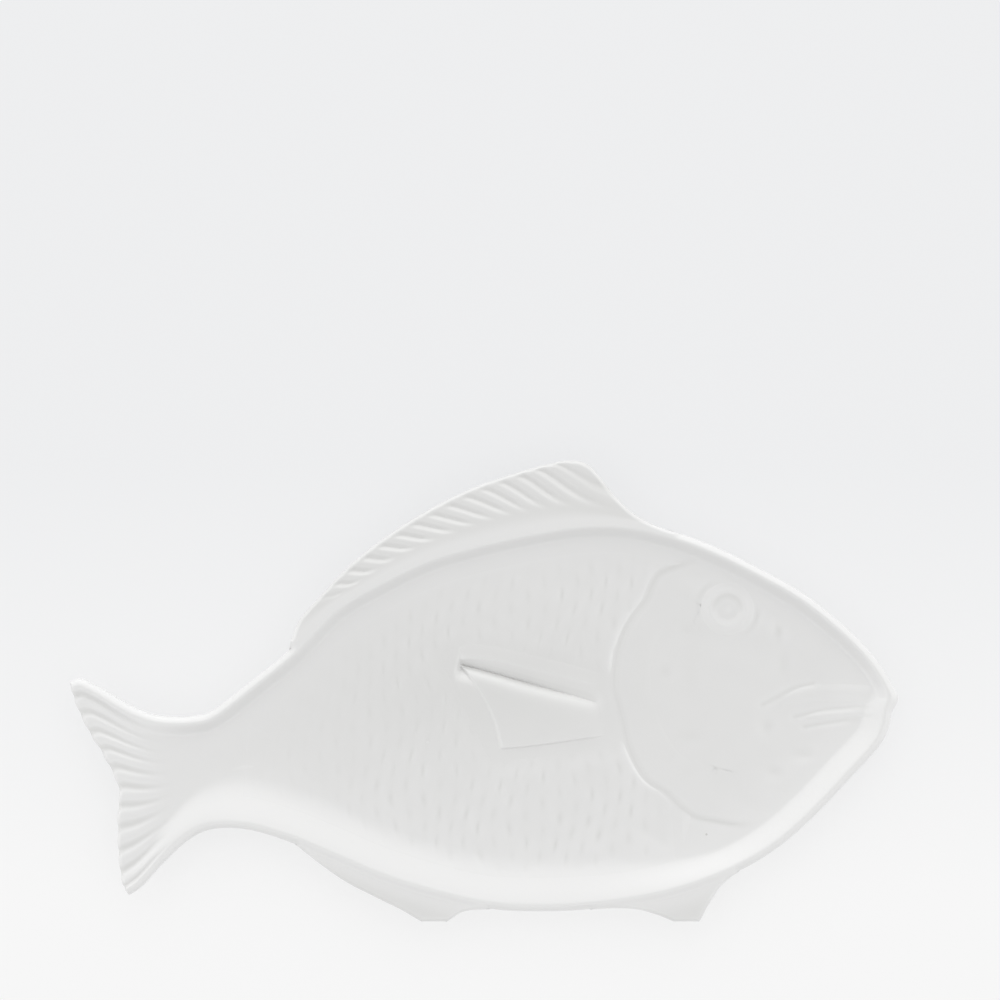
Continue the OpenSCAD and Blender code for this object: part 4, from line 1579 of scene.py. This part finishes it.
@dataclass
class Scales(Relief):
    """Flank with its overlapping scales, softened by the glaze."""

    rows: int = 260
    cols: int = 200
    pitch: float = 11.6
    row: float = 5.6
    level: float = 0.34
    dent: float = 0.28
    gap: float = 1.2
    margin: float = 0.6
    rim_fade: float = 18
    fin_gap: float = 1.8
    fin_fade: float = 10.0
    gill_t: tuple[float, float] = (9.7, 25.1)
    tail_t: tuple[float, float] = (0.8, 34.3)
    notch_width: float = 1.2
    notch_length: float = 2.9
    tail_level: float = 0.25
    tail_from: float = -70
    tail_run: float = 45
    edge_run: float = 2
    gill_run: float = 1.3

    def build(self) -> bpy.types.Object:
        """The scaled flank as one sheet with notches between the scales.

        Returns:
            The new piece.
        """
        s = np.linspace(0, 1, self.rows)[:, None] + np.zeros((1, self.cols))
        q = np.linspace(0, 1, self.cols)[None, :] + np.zeros((self.rows, 1))
        margin = self.shell.wall_inset + self.margin
        plan = self.shell.plan
        upper, lower = (plan.inset(mix(*ends, s), margin + 0 * s) for ends in zip(self.tail_t, self.gill_t))
        gill = self.on_floor(GillCover.line[1:18]) - [self.gap, 0]
        first, last = (plan.inset(np.array(t), margin) for t in self.gill_t)
        gill = np.vstack([first, gill, last])
        chord = mix(gill[0], gill[-1], q[..., None])
        bend = ease((s - 0.35) / 0.65)[..., None]
        xy = mix(upper, lower, q[..., None]) + bend * (curve(gill, q * (len(gill) - 1)) - chord)
        edges = np.vstack([xy[0, :], xy[:, -1], xy[::-1, 0]])
        rim_side = distance(xy, edges)
        tail_fade = mix(self.tail_level, 1, ease((xy[..., 0] - self.tail_from) / self.tail_run))
        height = ease(rim_side / self.rim_fade) * (self.level + tail_fade * self.pattern(xy))
        height = mix(-self.sunk, height, self.fin_clearance(xy)) - self.shell.basin(xy)
        shown = ease(rim_side / self.edge_run) * ease(distance(xy, evenly(gill, 160)) / self.gill_run)
        return self.sheet("scales_glazed", xy, mix(-self.sunk, height, shown))

    def fin_clearance(self, xy: Array) -> Array:
        """Share that is 0 over the pectoral fin and 1 away from it.

        Args:
            xy: Plan points.

        Returns:
            Shares from 0 to 1.
        """
        top, low = (evenly(self.on_floor(t), 60) for t in (PectoralFin.crest, PectoralFin.lower))
        area = np.concatenate([mix(top, low, k) for k in np.linspace(0, 1, 24)])
        near = np.min([np.linalg.norm(xy - p, axis=-1) for p in area[::3]], axis=0)
        return ease((near - self.fin_gap) / self.fin_fade)

    def pattern(self, xy: Array) -> Array:
        """Notches between the scales, in staggered rows that bend a little with the body.

        Args:
            xy: Plan points.

        Returns:
            Heights in millimetres, 0 or less.
        """
        x, y = xy[..., 0], xy[..., 1]
        bent = y + 3.0 * np.sin(x / 60) + 1.0 * np.sin(x / 17 + y / 23)
        along = x + 1.6 * np.sin(y / 13 + x / 31) + 1.1 * np.sin(x / 9.0 - y / 7)
        total = np.zeros_like(x)
        line = np.floor(bent / self.row)
        for k in (-1, 0, 1, 2):
            number = line + k
            shift = np.where(number % 2 == 0, 0, 0.5)
            local_y = bent - number * self.row
            local_x = (along / self.pitch - shift + 0.5) % 1 - 0.5
            size = 0.7 + 0.3 * np.sin(number * 2.4 + np.floor(along / self.pitch - shift + 0.5) * 1.7)
            wide = self.notch_width + 0.25 * np.sin(number * 1.3 + along / 40)
            total += size * np.exp(-(local_x * self.pitch / wide) ** 2 - (local_y / self.notch_length) ** 2)
        return -self.dent * total


@dataclass
class Studio:
    """Pale floor, soft light and the camera of the photograph."""

    sight: Sight
    rim_h: float
    lens: float = 95.07
    sensor: float = 36
    sight_end: float = 50
    floor_size: float = 8.0
    by_height: tuple = ((0, 1.16), (0.8, 1.16), (0.9, 0.95), (0.95, 0.53), (0.985, 0.12), (1, 0.05))
    by_side: tuple = ((-1, 0.66), (-0.3, 0.93), (-0.1, 0.96), (0.15, 1.0), (0.6, 1.07), (1, 1.5))
    key_power: float = 1
    key_size: float = 1.2
    key_place: tuple[float, float, float] = (0.0, 1.6, 1.2)
    key_tilt: float = math.radians(-53)
    tone_span: tuple[float, float] = (-0.08, 0.09)
    paper_near: tuple = (0.93, 0.93, 0.93, 1)
    paper_far: tuple = (0.852, 0.857, 0.866, 1)
    paper_glow: float = 0.8
    paper_roughness: float = 0.9

    def camera(self) -> None:
        """Camera that looks straight at the open side of the platter."""
        data = bpy.data.cameras.new("camera")
        data.lens, data.sensor_width, data.clip_end = self.lens, self.sensor, self.sight_end
        camera = bpy.data.objects.new("camera", data)
        camera.location = np.array([*self.sight.over, self.rim_h + self.sight.above_rim]) * MM
        bpy.context.scene.collection.objects.link(camera)
        bpy.context.scene.camera = camera

    def floor(self) -> None:
        """Pale floor, painted darker and cooler beyond the fish's back as shade on a paper sweep."""
        bpy.ops.object.select_all(action="DESELECT")
        bpy.ops.mesh.primitive_plane_add(size=self.floor_size)
        floor = bpy.context.active_object
        floor.name = "studio_floor"
        kit = NodeKit("pale_paper")
        parts = kit.add("ShaderNodeSeparateXYZ")
        kit.link(kit.place(), parts.inputs["Vector"])
        # Painted shade: the paper turns darker and cooler towards +Y.
        share = kit.spread(parts.outputs["Y"], *self.tone_span)
        tone = kit.mix_colour(share, self.paper_near, self.paper_far)
        kit.link(tone, kit.shader.inputs["Base Color"])
        kit.shader.inputs["Roughness"].default_value = self.paper_roughness
        glow = kit.add("ShaderNodeEmission")
        kit.link(tone, glow.inputs["Color"])
        rays = kit.add("ShaderNodeLightPath").outputs
        seen = kit.math("MAXIMUM", rays["Is Glossy Ray"], rays["Is Transmission Ray"])
        seen = kit.math("MAXIMUM", rays["Is Camera Ray"], seen)
        both = kit.add("ShaderNodeMixShader")
        kit.link(kit.math("MULTIPLY", seen, self.paper_glow), both.inputs["Fac"])
        kit.link(kit.shader.outputs["BSDF"], both.inputs[1])
        kit.link(glow.outputs["Emission"], both.inputs[2])
        kit.link(both.outputs["Shader"], kit.nodes["Material Output"].inputs["Surface"])
        floor.data.materials.append(kit.material)
        floor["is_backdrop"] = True

    def sky(self) -> None:
        """A white sky, brighter low down and towards the back of the fish."""
        world = bpy.data.worlds.new("soft_sky")
        world.use_nodes = True
        tree = world.node_tree
        parts = tree.nodes.new("ShaderNodeSeparateXYZ")
        place = tree.nodes.new("ShaderNodeTexCoord")
        tree.links.new(place.outputs["Generated"], parts.inputs["Vector"])
        both = tree.nodes.new("ShaderNodeMath")
        both.operation = "MULTIPLY"
        for socket, axis, table in zip(both.inputs, ("Z", "Y"), (self.by_height, self.by_side)):
            level = tree.nodes.new("ShaderNodeFloatCurve")
            mapping = level.mapping
            mapping.clip_min_x, mapping.clip_min_y, mapping.clip_max_x, mapping.clip_max_y = -1, 0, 1, 2
            points = mapping.curves[0].points
            points[0].location, points[1].location = table[0], table[-1]
            for x, y in table[1:-1]:
                points.new(x, y)
            for point in points:
                point.handle_type = "VECTOR"
            mapping.update()
            tree.links.new(parts.outputs[axis], level.inputs["Value"])
            tree.links.new(level.outputs["Value"], socket)
        tree.links.new(both.outputs["Value"], tree.nodes["Background"].inputs["Strength"])
        tree.nodes["Background"].inputs["Color"].default_value = (1, 1, 1, 1)
        bpy.context.scene.world = world

    def key(self) -> None:
        """One large soft light beyond the fish's back."""
        data = bpy.data.lights.new("key_softbox", "AREA")
        data.shape, data.size, data.energy = "SQUARE", self.key_size, self.key_power
        light = bpy.data.objects.new("key_softbox", data)
        light.location = self.key_place
        light.rotation_euler = (self.key_tilt, 0, 0)
        bpy.context.scene.collection.objects.link(light)

    def build(self) -> None:
        """Sets up the whole studio."""
        self.camera()
        self.floor()
        self.sky()
        self.key()
        bpy.context.scene.view_settings.view_transform = "Standard"


def dress(piece: bpy.types.Object, material: bpy.types.Material, node: str) -> None:
    """Gives a piece its finish and its place in the frame.

    Args:
        piece: The finished piece.
        material: Its only material.
        node: The CAD node that it stands for.
    """
    piece.data.materials.clear()
    piece.data.materials.append(material)
    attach(piece, "root")
    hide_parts(node)
    LOG.info("%s: %d faces in place of %s", piece.name, len(piece.data.polygons), node)


def main() -> None:
    """Builds the platter and the studio."""
    logging.basicConfig(level=logging.INFO, format="%(name)s %(message)s")
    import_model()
    sizes, sight, maker = Sizes.from_frame(), Sight(), Modeller()
    plan = Outline(sizes)
    shell = Shell(plan, sight, maker)
    glaze, clay = Glaze().material(), BareClay().material()
    dress(shell.floor(), glaze, "well_floor")
    dress(shell.wall(), glaze, "side_wall")
    dress(shell.foot(), clay, "foot_ring")
    for kind in FinKind:
        dress(EdgeFin(plan, shell, maker, kind).build(), glaze, kind.value)
    dress(TailFin(plan, shell, maker).build(), glaze, "tail_fin")
    reliefs = ((PectoralFin, "pectoral_fin"), (Eye, "eye"), (GillCover, "gill_cover"), (Mouth, "lips"),
               (LateralLine, "lateral_line"), (Scales, "scales"))
    for form, node in reliefs:
        dress(form(shell, maker).build(), glaze, node)
    Studio(sight, sizes.rim_h).build()


if __name__ == "__main__":
    main()
